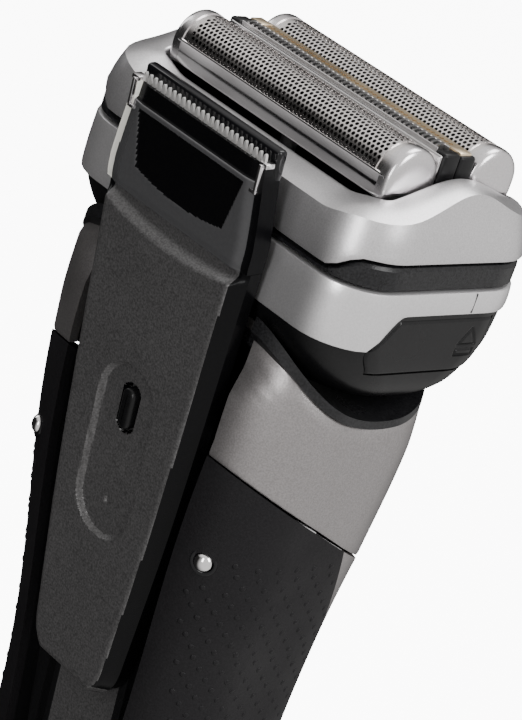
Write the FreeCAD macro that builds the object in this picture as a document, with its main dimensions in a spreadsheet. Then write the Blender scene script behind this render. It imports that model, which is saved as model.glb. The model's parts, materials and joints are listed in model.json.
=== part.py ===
import FreeCAD, Part
import math
import os
import re
import Sketcher

# Cordless foil shaver with a swivelling head and a pop-up long-hair trimmer.
# Frame: +Z up, origin at the middle of the base. The power button faces -Y and
# the trimmer is on +Y. Rest pose: trimmer raised, head in its middle position.

DOC = FreeCAD.newDocument("foil_shaver")

# Handle outline: level, half width, front depth, rear depth, corner radius.
STATIONS = {
    "foot": (8.0, 19.4, 16.2, 9.4, 10.5),
    "heel": (40.0, 20.2, 16.6, 11.5, 11.0),
    "waist": (75.0, 21.3, 16.0, 13.9, 11.0),
    "palm": (100.0, 24.8, 14.8, 17.3, 11.5),
    "chest": (119.0, 26.8, 14.6, 18.4, 11.5),
    "brow": (128.0, 26.8, 13.6, 18.4, 11.2),
    "rim": (140.0, 26.5, 12.8, 18.0, 11.0),
}
# Lower bowl of the head: level, half width, half depth, corner radius.
BOWL = {
    "keel": (127.8, 22.0, 7.4, 6.5),
    "bilge": (130.2, 27.4, 11.7, 9.0),
    "flank": (134.0, 29.0, 15.2, 9.0),
    "sill": (137.7, 29.25, 17.0, 8.5),
    "brim": (143.0, 29.4, 17.4, 8.2),
}
DIMS = {
    # handle skin, frame wall and the seam between rubber and metal
    "skin": 1.6, "wall": 3.4, "base_inset": 2.4, "seam_level": 105.75, "seam_slope": 0.516,
    # head swivel and the dish that the head turns in
    "pivot_level": 143.0, "pin_radius": 1.5, "pin_play": 0.05, "dish_level": 146.2,
    "dish_radius": 20.8, "collar_thick": 1.2, "post_half_x": 7.0, "post_half_y": 3.3, "post_foot": 104.0,
    # head plan
    "head_half_x": 29.6, "head_half_y": 17.6, "head_round": 8.0, "ring_wall": 2.25,
    "ring_low": 137.8, "ring_top": 146.0, "ring_arch": 142.7, "arch_half": 6.2,
    "arch_wide": 11.2, "deck_top": 148.2, "bowl_wall": 1.8, "button_low": 134.0,
    "button_rim": 0.8, "button_gap": 0.25, "button_back": 25.9,
    "button_front": 12.0,
    # cassette
    "shell_low": 147.5, "shell_end_low": 150.2, "shell_crown": 161.3, "crown_radius": 39.0,
    "shell_wall": 2.0, "lip_level": 155.0, "mouth_half": 22.5, "mouth_rear": 10.55,
    "mouth_front": 14.25, "band_half": 25.5, "crease_level": 157.0, "crease_half_x": 28.0,
    "crease_half_y": 15.9, "crown_half_x": 26.5, "crown_half_y": 14.8, "tray_low": 151.2, "tray_top": 152.6,
    # shaving elements
    "foil_radius": 4.3, "foil_axis": 158.7, "foil_sheet": 0.25, "foil_half": 22.15,
    "cap_thick": 1.25, "skirt_low": 156.0, "skirt_top": 159.1, "skirt_wall": 0.5,
    "rear_centre": 5.85, "front_centre": -9.55, "cutter_radius": 3.5, "cutter_half": 19.5,
    "drive_pin_radius": 1.2, "slot_play": 0.05,
    # slide trimmer, in its own leaning frame: x across, y outwards, z along it
    "slide_lean": 6.1, "slide_foot_y": 13.8, "slide_foot_level": 70.0, "slide_thick": 2.6,
    "slide_low_half": 9.5, "slide_mid": 32.0, "slide_mid_half": 12.3, "slide_top": 72.0,
    "slide_top_half": 15.0, "slide_stroke": 24.0, "cover_shoulder": 76.0, "cover_top": 87.0,
    "cover_top_half": 13.6, "cover_bulge": 0.7, "channel_depth": 4.6, "channel_half": 15.8,
    "blade_half": 13.0, "blade_top": 88.3, "tooth_pitch": 1.0, "tooth_gap": 0.45,
    "slide_bulge": 1.4, "bulge_inset": 1.9,
    "thumb_level": 44.0, "thumb_half_x": 1.3, "thumb_half_z": 3.1, "thumb_gap": 0.2,
    # power side
    "power_level": 78.0, "power_radius": 6.8, "bezel_radius": 8.2, "window_level": 52.0,
    "battery_radius": 7.0, "battery_low": 12.0, "battery_high": 62.0, "battery_y": -4.4,
    "contact_x": 19.0, "contact_level": 100.4, "contact_radius": 1.3,
    "inlet_y": -5.0, "inlet_depth": 6.0,
}
for station, values in STATIONS.items():
    for part, value in zip(("level", "half", "front", "rear", "round"), values):
        DIMS[f"{station}_{part}"] = value
for station, values in BOWL.items():
    for part, value in zip(("level", "half", "deep", "round"), values):
        DIMS[f"{station}_{part}"] = value

SHEET = DOC.addObject("Spreadsheet::Sheet", "dims")
for row, (alias, value) in enumerate(DIMS.items(), 1):
    SHEET.set(f"A{row}", alias.replace("_", " "))
    SHEET.set(f"B{row}", str(value))
    SHEET.setAlias(f"B{row}", alias)
DOC.recompute()

GAUGE = DOC.addObject("App::FeaturePython", "gauge")
GAUGE.addProperty("App::PropertyFloat", "size")


def on_sheet(text):
    """The expression with each alias read from the sheet."""
    return re.sub(r"[a-z][a-z_]+", lambda word: f"dims.{word[0]}" if word[0] in DIMS else word[0],
                  str(text))


def bind(item, prop, text):
    """Bind a property to an expression of the sheet's aliases."""
    item.setExpression(prop, on_sheet(text))


def number(text):
    """The present value of an expression, for first guesses in a sketch."""
    bind(GAUGE, "size", text)
    GAUGE.recompute()
    return GAUGE.size


# ---------------------------------------------------------------- sketches
def new_body(name):
    body = DOC.addObject("PartDesign::Body", name)
    body.Label = name
    return body


def sketch_on(body, role, offset):
    """A sketch on an origin plane of the body, moved by (x, y, z) in that plane's frame."""
    sketch = body.newObject("Sketcher::SketchObject", f"{body.Name}_sketch")
    plane = next(item for item in body.Origin.OriginFeatures if item.Role == role)
    sketch.AttachmentSupport = [(plane, "")]
    sketch.MapMode = "FlatFace"
    for axis, text in zip("xyz", offset):
        bind(sketch, f".AttachmentOffset.Base.{axis}", text)
    return sketch


def measure(sketch, kind, places, text):
    """Add a driving constraint bound to an expression."""
    index = sketch.addConstraint(Sketcher.Constraint(kind, *places, number(text)))
    bind(sketch, f"Constraints[{index}]", text)


def rounded(body, role, offset, wide, deep, radius):
    """Sketch of a rounded rectangle centred on the sketch's origin."""
    sketch = sketch_on(body, role, offset)
    half_x, half_y, turn = number(wide) / 2, number(deep) / 2, number(radius)
    in_x, in_y = half_x - turn, half_y - turn
    ends = (((-in_x, -half_y), (in_x, -half_y)), ((half_x, -in_y), (half_x, in_y)),
            ((in_x, half_y), (-in_x, half_y)), ((-half_x, in_y), (-half_x, -in_y)))
    for start, end in ends:
        sketch.addGeometry(Part.LineSegment(FreeCAD.Vector(*start, 0), FreeCAD.Vector(*end, 0)), False)
    centres = ((in_x, -in_y, 270), (in_x, in_y, 0), (-in_x, in_y, 90), (-in_x, -in_y, 180))
    quarter = math.pi / 2
    for x, y, angle in centres:
        first = quarter * angle / 90
        circle = Part.Circle(FreeCAD.Vector(x, y, 0), FreeCAD.Vector(0, 0, 1), turn)
        sketch.addGeometry(Part.ArcOfCircle(circle, first, first + quarter), False)
    for side in range(4):
        sketch.addConstraint(Sketcher.Constraint("Tangent", side, 2, 4 + side, 1))
        sketch.addConstraint(Sketcher.Constraint("Tangent", 4 + side, 2, (side + 1) % 4, 1))
    for side in (0, 2):
        sketch.addConstraint(Sketcher.Constraint("Horizontal", side))
        sketch.addConstraint(Sketcher.Constraint("Vertical", side + 1))
    for corner in (5, 6, 7):
        sketch.addConstraint(Sketcher.Constraint("Equal", 4, corner))
    sketch.addConstraint(Sketcher.Constraint("Symmetric", 0, 1, 2, 1, -1, 1))
    measure(sketch, "DistanceX", (3, 1, 1, 1), wide)
    measure(sketch, "DistanceY", (0, 1, 2, 1), deep)
    measure(sketch, "Radius", (4,), radius)
    return sketch


def polygon(body, role, offset, points):
    """Sketch of a closed polygon whose corners are pairs of expressions."""
    sketch = sketch_on(body, role, offset)
    spots = [FreeCAD.Vector(number(x), number(y), 0) for x, y in points]
    count = len(spots)
    for index in range(count):
        sketch.addGeometry(Part.LineSegment(spots[index], spots[(index + 1) % count]), False)
    for index in range(count):
        sketch.addConstraint(Sketcher.Constraint("Coincident", index, 2, (index + 1) % count, 1))
    for index, (x, y) in enumerate(points):
        measure(sketch, "DistanceX", (-1, 1, index, 1), x)
        measure(sketch, "DistanceY", (-1, 1, index, 1), y)
    return sketch


def pad(body, sketch, length):
    feature = body.newObject("PartDesign::Pad", f"{body.Name}_pad")
    feature.Profile = sketch
    bind(feature, "Length", length)
    return feature


def pocket(body, sketch, length, forward=False):
    """Cut against the sketch's normal, or along it when forward."""
    feature = body.newObject("PartDesign::Pocket", f"{body.Name}_pocket")
    feature.Profile = sketch
    feature.Reversed = forward
    bind(feature, "Length", length)
    return feature


def slab(name, points, low, high):
    """A polygon in the YZ plane, extruded along X between two expressions."""
    body = new_body(name)
    pad(body, polygon(body, "YZ_Plane", ("0", "0", low), points), f"({high}) - ({low})")
    return body


def plate(name, low, high, wide, deep, radius, middle="0"):
    """A rounded rectangle in plan, between two levels, centred at y = middle."""
    body = new_body(name)
    pad(body, rounded(body, "XY_Plane", ("0", middle, low), wide, deep, radius), f"({high}) - ({low})")
    return body


def tube(name, low, high, half_x, half_y, radius, wall):
    """A rounded rectangular ring in plan, between two levels."""
    body = plate(name, low, high, f"2 * ({half_x})", f"2 * ({half_y})", radius)
    inner = rounded(body, "XY_Plane", ("0", "0", high), f"2 * ({half_x} - ({wall}))",
                    f"2 * ({half_y} - ({wall}))", f"{radius} - ({wall})")
    pocket(body, inner, f"({high}) - ({low})")
    return body


def loft(name, sections):
    """A solid through rounded rectangles: (level, middle y, wide, deep, radius) expressions."""
    body = new_body(name)
    sketches = [rounded(body, "XY_Plane", ("0", middle, level), wide, deep, radius)
                for level, middle, wide, deep, radius in sections]
    feature = body.newObject("PartDesign::AdditiveLoft", f"{name}_loft")
    feature.Profile = sketches[0]
    feature.Sections = sketches[1:]
    return body


# ---------------------------------------------------- primitives and booleans
def block(name, x_span, y_span, z_span):
    """A box between (low, high) expressions on each axis."""
    item = DOC.addObject("Part::Box", name)
    for prop, axis, (low, high) in zip(("Length", "Width", "Height"), "xyz", (x_span, y_span, z_span)):
        bind(item, prop, f"({high}) - ({low})")
        bind(item, f".Placement.Base.{axis}", low)
    return item


def rod(name, axis, radius, span, spot):
    """A cylinder along x, y or z. spot gives its place on the two other axes."""
    item = DOC.addObject("Part::Cylinder", name)
    low, high = span
    places = dict(zip([letter for letter in "xyz" if letter != axis], spot))
    places[axis] = low
    turns = {"x": ((0, 1, 0), 90), "y": ((-1, 0, 0), 90), "z": ((0, 0, 1), 0)}
    turn, angle = turns[axis]
    item.Placement = FreeCAD.Placement(FreeCAD.Vector(), FreeCAD.Rotation(FreeCAD.Vector(*turn), angle))
    bind(item, "Radius", radius)
    bind(item, "Height", f"({high}) - ({low})")
    for letter, text in places.items():
        bind(item, f".Placement.Base.{letter}", text)
    return item


def joined(name, *pieces):
    item = DOC.addObject("Part::MultiFuse", name)
    item.Shapes = pieces
    return item


def shared(name, *pieces):
    item = DOC.addObject("Part::MultiCommon", name)
    item.Shapes = pieces
    return item


def cut(name, base, *tools):
    tool = tools[0] if len(tools) == 1 else joined(f"{name}_tools", *tools)
    item = DOC.addObject("Part::Cut", name)
    item.Base = base
    item.Tool = tool
    return item


def lean(item):
    """Place a piece that is drawn in the slide trimmer's frame."""
    item.Placement = FreeCAD.Placement(FreeCAD.Vector(), FreeCAD.Rotation(FreeCAD.Vector(-1, 0, 0), 1))
    bind(item, ".Placement.Base.y", "slide_foot_y")
    bind(item, ".Placement.Base.z", "slide_foot_level")
    bind(item, ".Placement.Rotation.Angle", "slide_lean")
    return item


def leaning(name, points, outer, inner):
    """A polygon in the slide's face, extruded inwards from outer to inner, both above its face."""
    body = new_body(name)
    outline = polygon(body, "XZ_Plane", ("0", "0", f"-({outer})"), points)
    pad(body, outline, f"({outer}) - ({inner})")
    return body


def leaning_block(name, x_span, y_span, z_span):
    """A box in the slide trimmer's frame, between (low, high) expressions on each axis."""
    (left, right), (inner, outer), (low, high) = x_span, y_span, z_span
    corners = [(left, low), (right, low), (right, high), (left, high)]
    return lean(leaning(name, corners, outer, inner))


def leaning_hole(body, wide, tall, radius, level, outer, depth):
    outline = rounded(body, "XZ_Plane", ("0", level, f"-({outer})"), wide, tall, radius)
    pocket(body, outline, depth, forward=True)


def tooth_gaps(body, half, top, depth, outer, through):
    """Slots cut down into the top edge of a blade, repeated across it."""
    first = polygon(body, "XZ_Plane", ("0", "0", f"-({outer})"), [
        (f"-{half} + tooth_pitch - tooth_gap", f"{top} - {depth}"),
        (f"-{half} + tooth_pitch", f"{top} - {depth}"),
        (f"-{half} + tooth_pitch", f"{top} + 1"),
        (f"-{half} + tooth_pitch - tooth_gap", f"{top} + 1")])
    slot = pocket(body, first, through, forward=True)
    rows = body.newObject("PartDesign::LinearPattern", f"{body.Name}_row")
    rows.Originals = [slot]
    rows.Direction = (first, ["H_Axis"])
    count = int(2 * number(half) / number("tooth_pitch") - 0.5)
    rows.Length = (count - 1) * number("tooth_pitch")
    rows.Occurrences = count
    body.Tip = rows


# ------------------------------------------------------------------ handle
def handle_envelope(name, inset):
    """The handle's outer form, drawn in by an inset."""
    sections = [(f"{s}_level", f"({s}_rear - {s}_front) / 2", f"2 * ({s}_half - {inset})",
                 f"{s}_rear + {s}_front - 2 * {inset}", f"{s}_round - {inset}") for s in STATIONS]
    return loft(name, sections)


def handle_tools():
    """Forms that the handle's pieces are cut with."""
    tools = {}
    tools["outer"] = handle_envelope("handle_outer", "0")
    tools["core"] = handle_envelope("handle_core", "skin")
    tools["hollow"] = handle_envelope("handle_hollow", "wall")
    tools["behind"] = leaning_block("channel_backing", ("-30", "30"), ("-channel_depth - 1.4", "30"),
                                    ("-slide_stroke - 3", "90"))
    tools["room"] = cut("handle_room", tools["hollow"], tools["behind"])
    tools["upper"] = slab("upper_mask", [("-40", "seam_level - 40 * seam_slope"),
                                         ("40", "seam_level + 40 * seam_slope"),
                                         ("40", "150"), ("-40", "150")], "-40", "40")
    tools["front"] = slab("front_mask", [("-12.5", "0"), ("-12.5", "60"), ("-11", "85"), ("-3.3", "105"),
                                         ("-2.5", "118"), ("-40", "118"), ("-40", "0")], "-40", "40")
    low_half, low_z = "slide_low_half + 0.6", "-slide_stroke - 1"
    channel = leaning("channel", [
        (f"-({low_half})", low_z), (low_half, low_z), ("channel_half", "slide_top - slide_stroke"),
        ("channel_half", "slide_top + 10"), ("-channel_half", "slide_top + 10"),
        ("-channel_half", "slide_top - slide_stroke")], "9", "-channel_depth")
    tools["channel"] = lean(channel)
    return tools


def skin_pieces(tools):
    """Front shell, rubber grips and the frame under them."""
    skin = cut("handle_skin", tools["outer"], tools["core"])
    contacts = [rod(f"contact_bore_{side}", "y", "contact_radius", ("5", "22"), (x, "contact_level"))
                for side, x in (("left", "-contact_x"), ("right", "contact_x"))]
    bezel = rod("bezel_bore", "y", "bezel_radius", ("-25", "-5"), ("0", "power_level"))
    window = block("window_bore", ("-5", "5"), ("-25", "-15.4"), ("window_level - 8", "window_level + 8"))
    front = shared("front_skin", skin, tools["front"])
    front_shell = cut("front_shell", front, tools["upper"], bezel, window)
    rear = cut("rear_skin", skin, tools["front"], tools["upper"], tools["channel"], *contacts)
    half = block("left_mask", ("-40", "0"), ("-40", "40"), ("0", "150"))
    grip_left = shared("grip_left", rear, half)
    other = block("right_mask", ("0", "40"), ("-40", "40"), ("0", "150"))
    grip_right = shared("grip_right", rear, other)
    power = rod("power_bore", "y", "power_radius + 0.3", ("-25", "-5"), ("0", "power_level"))
    frame = cut("handle_frame", tools["core"], tools["room"], tools["upper"], tools["channel"], power,
                *contacts)
    return [front_shell, grip_left, grip_right, frame]


def neck_pieces(tools):
    """Metal shoulders, black collar dish, hinge post with its seal, and the hinge pin."""
    pivot = ("0", "pivot_level")
    centre = ("0", "dish_level")
    dish = rod("dish", "x", "dish_radius", ("-40", "40"), centre)
    under = rod("collar_under", "x", "dish_radius + collar_thick", ("-40", "40"), centre)
    post_hole = block("post_hole", ("-post_half_x - 1.4", "post_half_x + 1.4"),
                      ("-post_half_y - 1.6", "post_half_y + 1.6"), ("100", "140"))
    upper = shared("upper_part", tools["outer"], tools["upper"])
    lock_bay = block("lock_bay", ("-5", "5"), ("-25", "-13.2"), ("115.5", "124.5"))
    shoulder = cut("shoulder_cover", upper, under, tools["room"], tools["channel"], lock_bay)
    rim = shared("collar_part", tools["outer"], under)
    collar = cut("neck_collar", rim, dish, tools["channel"], post_hole)
    stem = block("post_stem", ("-post_half_x", "post_half_x"), ("-post_half_y", "post_half_y"),
                 ("post_foot", "pivot_level"))
    crown = rod("post_crown", "x", "post_half_y", ("-post_half_x", "post_half_x"), pivot)
    foot = block("post_flange", ("-12", "12"), ("-8", "8"), ("post_foot", "post_foot + 4"))
    bore = rod("post_bore", "x", "pin_radius", ("-20", "20"), pivot)
    post = cut("neck_post", joined("post_solid", stem, crown, foot), bore)
    seal_block = block("seal_block", ("-post_half_x - 1.4", "post_half_x + 1.4"),
                       ("-post_half_y - 1.6", "post_half_y + 1.6"), ("121.9", "125.3"))
    seal = cut("neck_seal", seal_block, stem)
    pin = rod("pivot_pin", "x", "pin_radius", ("-10.4", "10.4"), pivot)
    lock = block("lock_switch", ("-4", "4"), ("-15.6", "-13.2"), ("116", "120.5"))
    return [shoulder, collar, post, seal, pin, lock]


def base_pieces():
    """Bottom cap with the charging inlet, its pins and two screws."""
    cap = loft("cap_form", [
        ("0", "(foot_rear - foot_front) / 2", "2 * (foot_half - base_inset)",
         "foot_rear + foot_front - 2 * base_inset", "foot_round - base_inset"),
        ("foot_level", "(foot_rear - foot_front) / 2", "2 * foot_half", "foot_rear + foot_front",
         "foot_round")])
    recess = block("inlet_recess", ("-6", "6"), ("inlet_y - 4", "inlet_y + 4"), ("0", "inlet_depth + 1"))
    bores = [rod(f"screw_bore_{side}", "z", "1.5", ("0", "5"), (x, "inlet_y"))
             for side, x in (("left", "-12"), ("right", "12"))]
    base_cap = cut("base_cap", cap, recess, *bores)
    socket = block("inlet_socket", ("-4.6", "4.6"), ("inlet_y - 2.6", "inlet_y + 2.6"),
                   ("0", "inlet_depth"))
    insert = block("inlet_block", ("-6", "6"), ("inlet_y - 4", "inlet_y + 4"), ("0", "inlet_depth + 1"))
    inlet = cut("power_inlet", insert, socket)
    pins = joined("inlet_pins", *[rod(f"inlet_pin_{side}", "z", "0.5", ("1.2", "inlet_depth"),
                  (x, "inlet_y"))
                                  for side, x in (("left", "-2.9"), ("right", "2.9"))])
    screws = joined("base_screws", *[rod(f"screw_{side}", "z", "1.5", ("0.8", "5"), (x, "inlet_y"))
                                     for side, x in (("left", "-12"), ("right", "12"))])
    return [base_cap, inlet, pins, screws]


def inner_pieces():
    """Battery, its end contacts, circuit board and the front controls."""
    spot = ("0", "battery_y")
    cell = rod("battery_cell", "z", "battery_radius", ("battery_low", "battery_high"), spot)
    tabs = joined("battery_tabs",
                  rod("tab_low", "z", "battery_radius - 2", ("battery_low - 0.6", "battery_low"), spot),
                  rod("tab_high", "z", "battery_radius - 2", ("battery_high", "battery_high + 0.6"), spot))
    board = block("circuit_board", ("-9", "9"), ("-12.3", "-11.5"), ("20", "74"))
    level = ("0", "power_level")
    power = rod("power_button", "y", "power_radius", ("-16.8", "-13.8"), level)
    ring_out = rod("bezel_outer", "y", "bezel_radius", ("-16.5", "-14.7"), level)
    ring_in = rod("bezel_inner", "y", "power_radius + 0.3", ("-20", "-10"), level)
    bezel = cut("button_bezel", ring_out, ring_in)
    window = block("display_window", ("-5", "5"), ("-16.5", "-15.4"),
                   ("window_level - 8", "window_level + 8"))
    contacts = joined("contact_pins", *[
        rod(f"contact_{side}", "y", "contact_radius", ("12.0", "16.4"), (x, "contact_level"))
        for side, x in (("left", "-contact_x"), ("right", "contact_x"))])
    return [cell, tabs, board, power, bezel, window, contacts]


def rail_pieces():
    """The two rails on the channel floor that guide the trimmer."""
    rails = [leaning_block(f"rail_{side}", span, ("-channel_depth", "-3.0"), ("-slide_stroke + 4", "50"))
             for side, span in (("left", ("-9.0", "-7.6")), ("right", ("7.6", "9.0")))]
    return [joined("trimmer_rails", *rails)]


# -------------------------------------------------------------------- head
def bowl_form(name, inset, lift):
    sections = [(f"{s}_level + {lift}", "0", f"2 * ({s}_half - {inset})", f"2 * ({s}_deep - {inset})",
                 f"{s}_round - {inset}") for s in BOWL]
    return loft(name, sections)


def head_pieces():
    """Bowl, silver ring, deck with hinge lugs, release buttons and the linear drive."""
    inner_x, inner_y = "head_half_x - ring_wall - 0.1", "head_half_y - ring_wall - 0.1"
    outer = bowl_form("bowl_outer", "0", "0")
    inner = bowl_form("bowl_inner", "bowl_wall", "bowl_wall")
    lid = block("bowl_lid", ("-40", "40"), ("-30", "30"), ("sill_level", "170"))
    neck = tube("bowl_neck", "sill_level", "ring_top - 1.5", inner_x, inner_y, "6", "1.7")
    throat = plate("bowl_throat", "sill_level - 2", "ring_top", f"2 * ({inner_x} - 1.7)",
                   f"2 * ({inner_y} - 1.7)", "4.3")
    slot = block("bowl_slot", ("-8.2", "8.2"), ("-9.8", "7"), ("120", "137"))
    arch = slab("ring_step", [("-30", "130"), ("arch_wide", "130"), ("arch_wide", "ring_low"),
                              ("arch_half", "ring_arch"), ("-30", "ring_arch")], "-40", "40")
    around = tube("ring_room", "ring_low", "160", "head_half_x + 4", "head_half_y + 4", "head_round + 4",
                  "4 + ring_wall")
    seat = cut("ring_seat", around, arch)
    bay = slab("button_bay", [("-button_front", "button_low"), ("arch_wide - 2", "button_low"),
                              ("arch_wide - button_rim - 0.2", "ring_low - 0.4"),
                              ("arch_half - 0.4", "ring_arch - button_rim"),
                              ("-button_front", "ring_arch - button_rim")], "-40", "40")
    solid = joined("bowl_solid", cut("bowl_seated", outer, seat), neck)
    bowl = cut("head_bowl", solid, cut("bowl_room", inner, lid), throat, slot, bay)
    wall = tube("ring_form", "ring_low", "ring_top", "head_half_x", "head_half_y",
                "head_round", "ring_wall")
    ring = cut("head_ring", wall, arch)
    side_form = bowl_form("side_form", "0", "0")
    keys = [shared(f"release_button_{side}", side_form, slab(
        f"button_prism_{side}", [
            ("button_gap - button_front", "button_low + button_gap"),
            ("arch_wide - 2 - button_gap", "button_low + button_gap"),
            ("arch_wide - button_rim - 0.2 - button_gap", "ring_low - 0.4"),
            ("arch_half - 0.5 - button_gap", "ring_arch - button_rim - button_gap"),
            ("button_gap - button_front", "ring_arch - button_rim - button_gap")], low, high))
            for side, low, high in (("left", "-40", "-button_back"), ("right", "button_back", "40"))]
    return [bowl, ring] + keys


def deck_pieces():
    """Deck over the drive, with the hinge lugs below it, and the oscillating drive."""
    inner_x, inner_y = "head_half_x - ring_wall - 0.3", "head_half_y - ring_wall - 0.3"
    top = plate("deck_top_plate", "deck_top - 1.6", "deck_top", f"2 * ({inner_x})", f"2 * ({inner_y})", "6")
    skirt = tube("deck_skirt", "ring_top - 1.5", "deck_top - 1.6", inner_x, inner_y, "6", "1.7")
    lugs = [block(f"lug_{side}", span, ("-3", "3"), ("pivot_level - 3.2", "deck_top - 1.6"))
            for side, span in (("left", ("-10.6", "-7.6")), ("right", ("7.6", "10.6")))]
    bore = rod("lug_bore", "x", "pin_radius + pin_play", ("-20", "20"), ("0", "pivot_level"))
    windows = [block(f"stem_window_{side}", span, ("-2.6", "2.6"), ("140", "150"))
               for side, span in (("left", ("-18.4", "-13.6")), ("right", ("13.6", "18.4")))]
    deck = cut("head_deck", joined("deck_solid", top, skirt, *lugs), bore, *windows)
    bridge = plate("drive_bridge", "deck_top + 0.3", "deck_top + 1.8", "36", "21", "3",
                   "(rear_centre + front_centre) / 2")
    stems = [block(f"drive_stem_{side}", span, ("-2", "2"), ("139", "deck_top + 0.3"))
             for side, span in (("left", ("-17", "-15")), ("right", ("15", "17")))]
    rocker = joined("drive_rocker", bridge, *stems)
    pins = joined("drive_pins", *[
        rod(f"drive_pin_{side}", "z", "drive_pin_radius", ("deck_top + 1.8", "155.6"), ("0", middle))
        for side, middle in (("rear", "rear_centre"), ("front", "front_centre"))])
    coils, yokes = [], []
    for side, x_span in (("left", ("-21.5", "-12.6")), ("right", ("12.6", "21.5"))):
        for face, y_span in (("rear", ("3", "9")), ("front", ("-9", "-3"))):
            coils.append(block(f"coil_{side}_{face}", x_span, y_span, ("133", "143")))
            yokes.append(block(f"yoke_{side}_{face}", x_span, y_span, ("143", "deck_top - 1.6")))
    return [deck, rocker, pins, joined("motor_coils", *coils), joined("motor_yokes", *yokes)]


# ---------------------------------------------------------------- cassette
def cassette_pieces():
    """Silver shell with an arched crown, black band, tray and end guides."""
    form = loft("shell_form", [
        ("shell_low", "0", "2 * head_half_x", "2 * head_half_y", "head_round"),
        ("shell_low + 4.5", "0", "2 * head_half_x - 0.4", "2 * head_half_y - 0.4", "head_round"),
        ("crease_level", "0", "2 * crease_half_x", "2 * crease_half_y", "head_round - 0.5"),
        ("shell_crown + 0.2", "0", "2 * crown_half_x", "2 * crown_half_y", "head_round - 1")])
    arch = rod("shell_arch", "x", "crown_radius", ("-40", "40"), ("0", "shell_crown - crown_radius"))
    hollow = plate("shell_hollow", "shell_low - 1", "lip_level", "2 * (head_half_x - shell_wall)",
                   "2 * (head_half_y - shell_wall)", "head_round - shell_wall")
    mouth = block("shell_mouth", ("-mouth_half", "mouth_half"), ("-mouth_front", "mouth_rear"),
                  ("150", "170"))
    steps = [block(f"shell_step_{side}", span, ("-30", "30"), ("140", "shell_end_low"))
             for side, span in (("left", ("-40", "-band_half")), ("right", ("band_half", "40")))]
    shell = cut("cassette_shell", shared("shell_arched", form, arch), hollow, mouth, *steps)
    ring = tube("band_form", "shell_low - 0.6", "shell_end_low - 0.1", "head_half_x - 0.25",
                "head_half_y - 0.25", "head_round - 0.2", "1.7")
    trims = block("band_trim", ("-band_half - 0.1", "band_half + 0.1"), ("-30", "30"),
                  ("shell_low - 0.05", "160"))
    band = cut("cassette_band", ring, trims)
    tray_form = plate("tray_form", "tray_low", "tray_top", "2 * (head_half_x - shell_wall) - 0.1",
                      "2 * (head_half_y - shell_wall) - 0.1", "head_round - shell_wall")
    bays = [block(f"tray_bay_{side}", ("-20", "20"), (f"{side}_centre - 3.2", f"{side}_centre + 3.2"),
                  ("150", "155")) for side in ("rear", "front")]
    tray = cut("cassette_tray", tray_form, *bays)
    guides = joined("end_guides", *[
        block(f"guide_{side}", span, ("-13.4", "9.8"), ("tray_top", "lip_level"))
        for side, span in (("left", ("-25.5", "-mouth_half")), ("right", ("mouth_half", "25.5")))])
    return [shell, band, tray, guides]


def foil_pieces(side):
    """One foil: chrome skirt, curved sheet, end caps and the cutter below it."""
    centre = f"{side}_centre"
    spot = (centre, "foil_axis")
    reach = ("-foil_half", "foil_half")
    skirt_form = block(f"skirt_form_{side}", reach, (f"{centre} - foil_radius", f"{centre} + foil_radius"),
                       ("skirt_low", "skirt_top"))
    skirt_room = block(f"skirt_room_{side}", ("-foil_half + skirt_wall", "foil_half - skirt_wall"),
                       (f"{centre} - foil_radius + skirt_wall", f"{centre} + foil_radius - skirt_wall"),
                       ("skirt_low - 1", "skirt_top + 1"))
    skirt = cut(f"foil_frame_{side}", skirt_form, skirt_room)
    above = block(f"above_skirt_{side}", ("-40", "40"), ("-30", "30"), ("skirt_top", "170"))
    inner_end = "foil_half - cap_thick"
    outside = rod(f"foil_outer_{side}", "x", "foil_radius", (f"-({inner_end})", inner_end), spot)
    inside = rod(f"foil_inner_{side}", "x", "foil_radius - foil_sheet", ("-40", "40"), spot)
    foil = cut(f"foil_{side}", shared(f"foil_half_{side}", outside, above), inside)
    discs = [rod(f"cap_disc_{end}_{side}", "x", "foil_radius", span, spot)
             for end, span in (("left", ("-foil_half", f"-({inner_end})")), ("right",
                               (inner_end, "foil_half")))]
    caps = shared(f"foil_caps_{side}", joined(f"cap_discs_{side}", *discs),
                  block(f"above_cap_{side}", ("-40", "40"), ("-30", "30"), ("skirt_top", "170")))
    drum = rod(f"cutter_drum_{side}", "x", "cutter_radius", ("-cutter_half", "cutter_half"), spot)
    crown = shared(f"cutter_crown_{side}", drum,
                   block(f"above_cutter_{side}", ("-40", "40"), ("-30", "30"), ("156", "170")))
    sole = block(f"cutter_sole_{side}", ("-cutter_half", "cutter_half"),
                 (f"{centre} - 2.4", f"{centre} + 2.4"),
                 ("154.9", "156.2"))
    pin_slot = block(f"cutter_slot_{side}", ("-drive_pin_radius - slot_play",
                     "drive_pin_radius + slot_play"),
                     (f"{centre} - 2", f"{centre} + 2"), ("150", "158"))
    cutter = cut(f"cutter_{side}", joined(f"cutter_solid_{side}", crown, sole), pin_slot)
    return [skirt, foil, caps, cutter]


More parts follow.
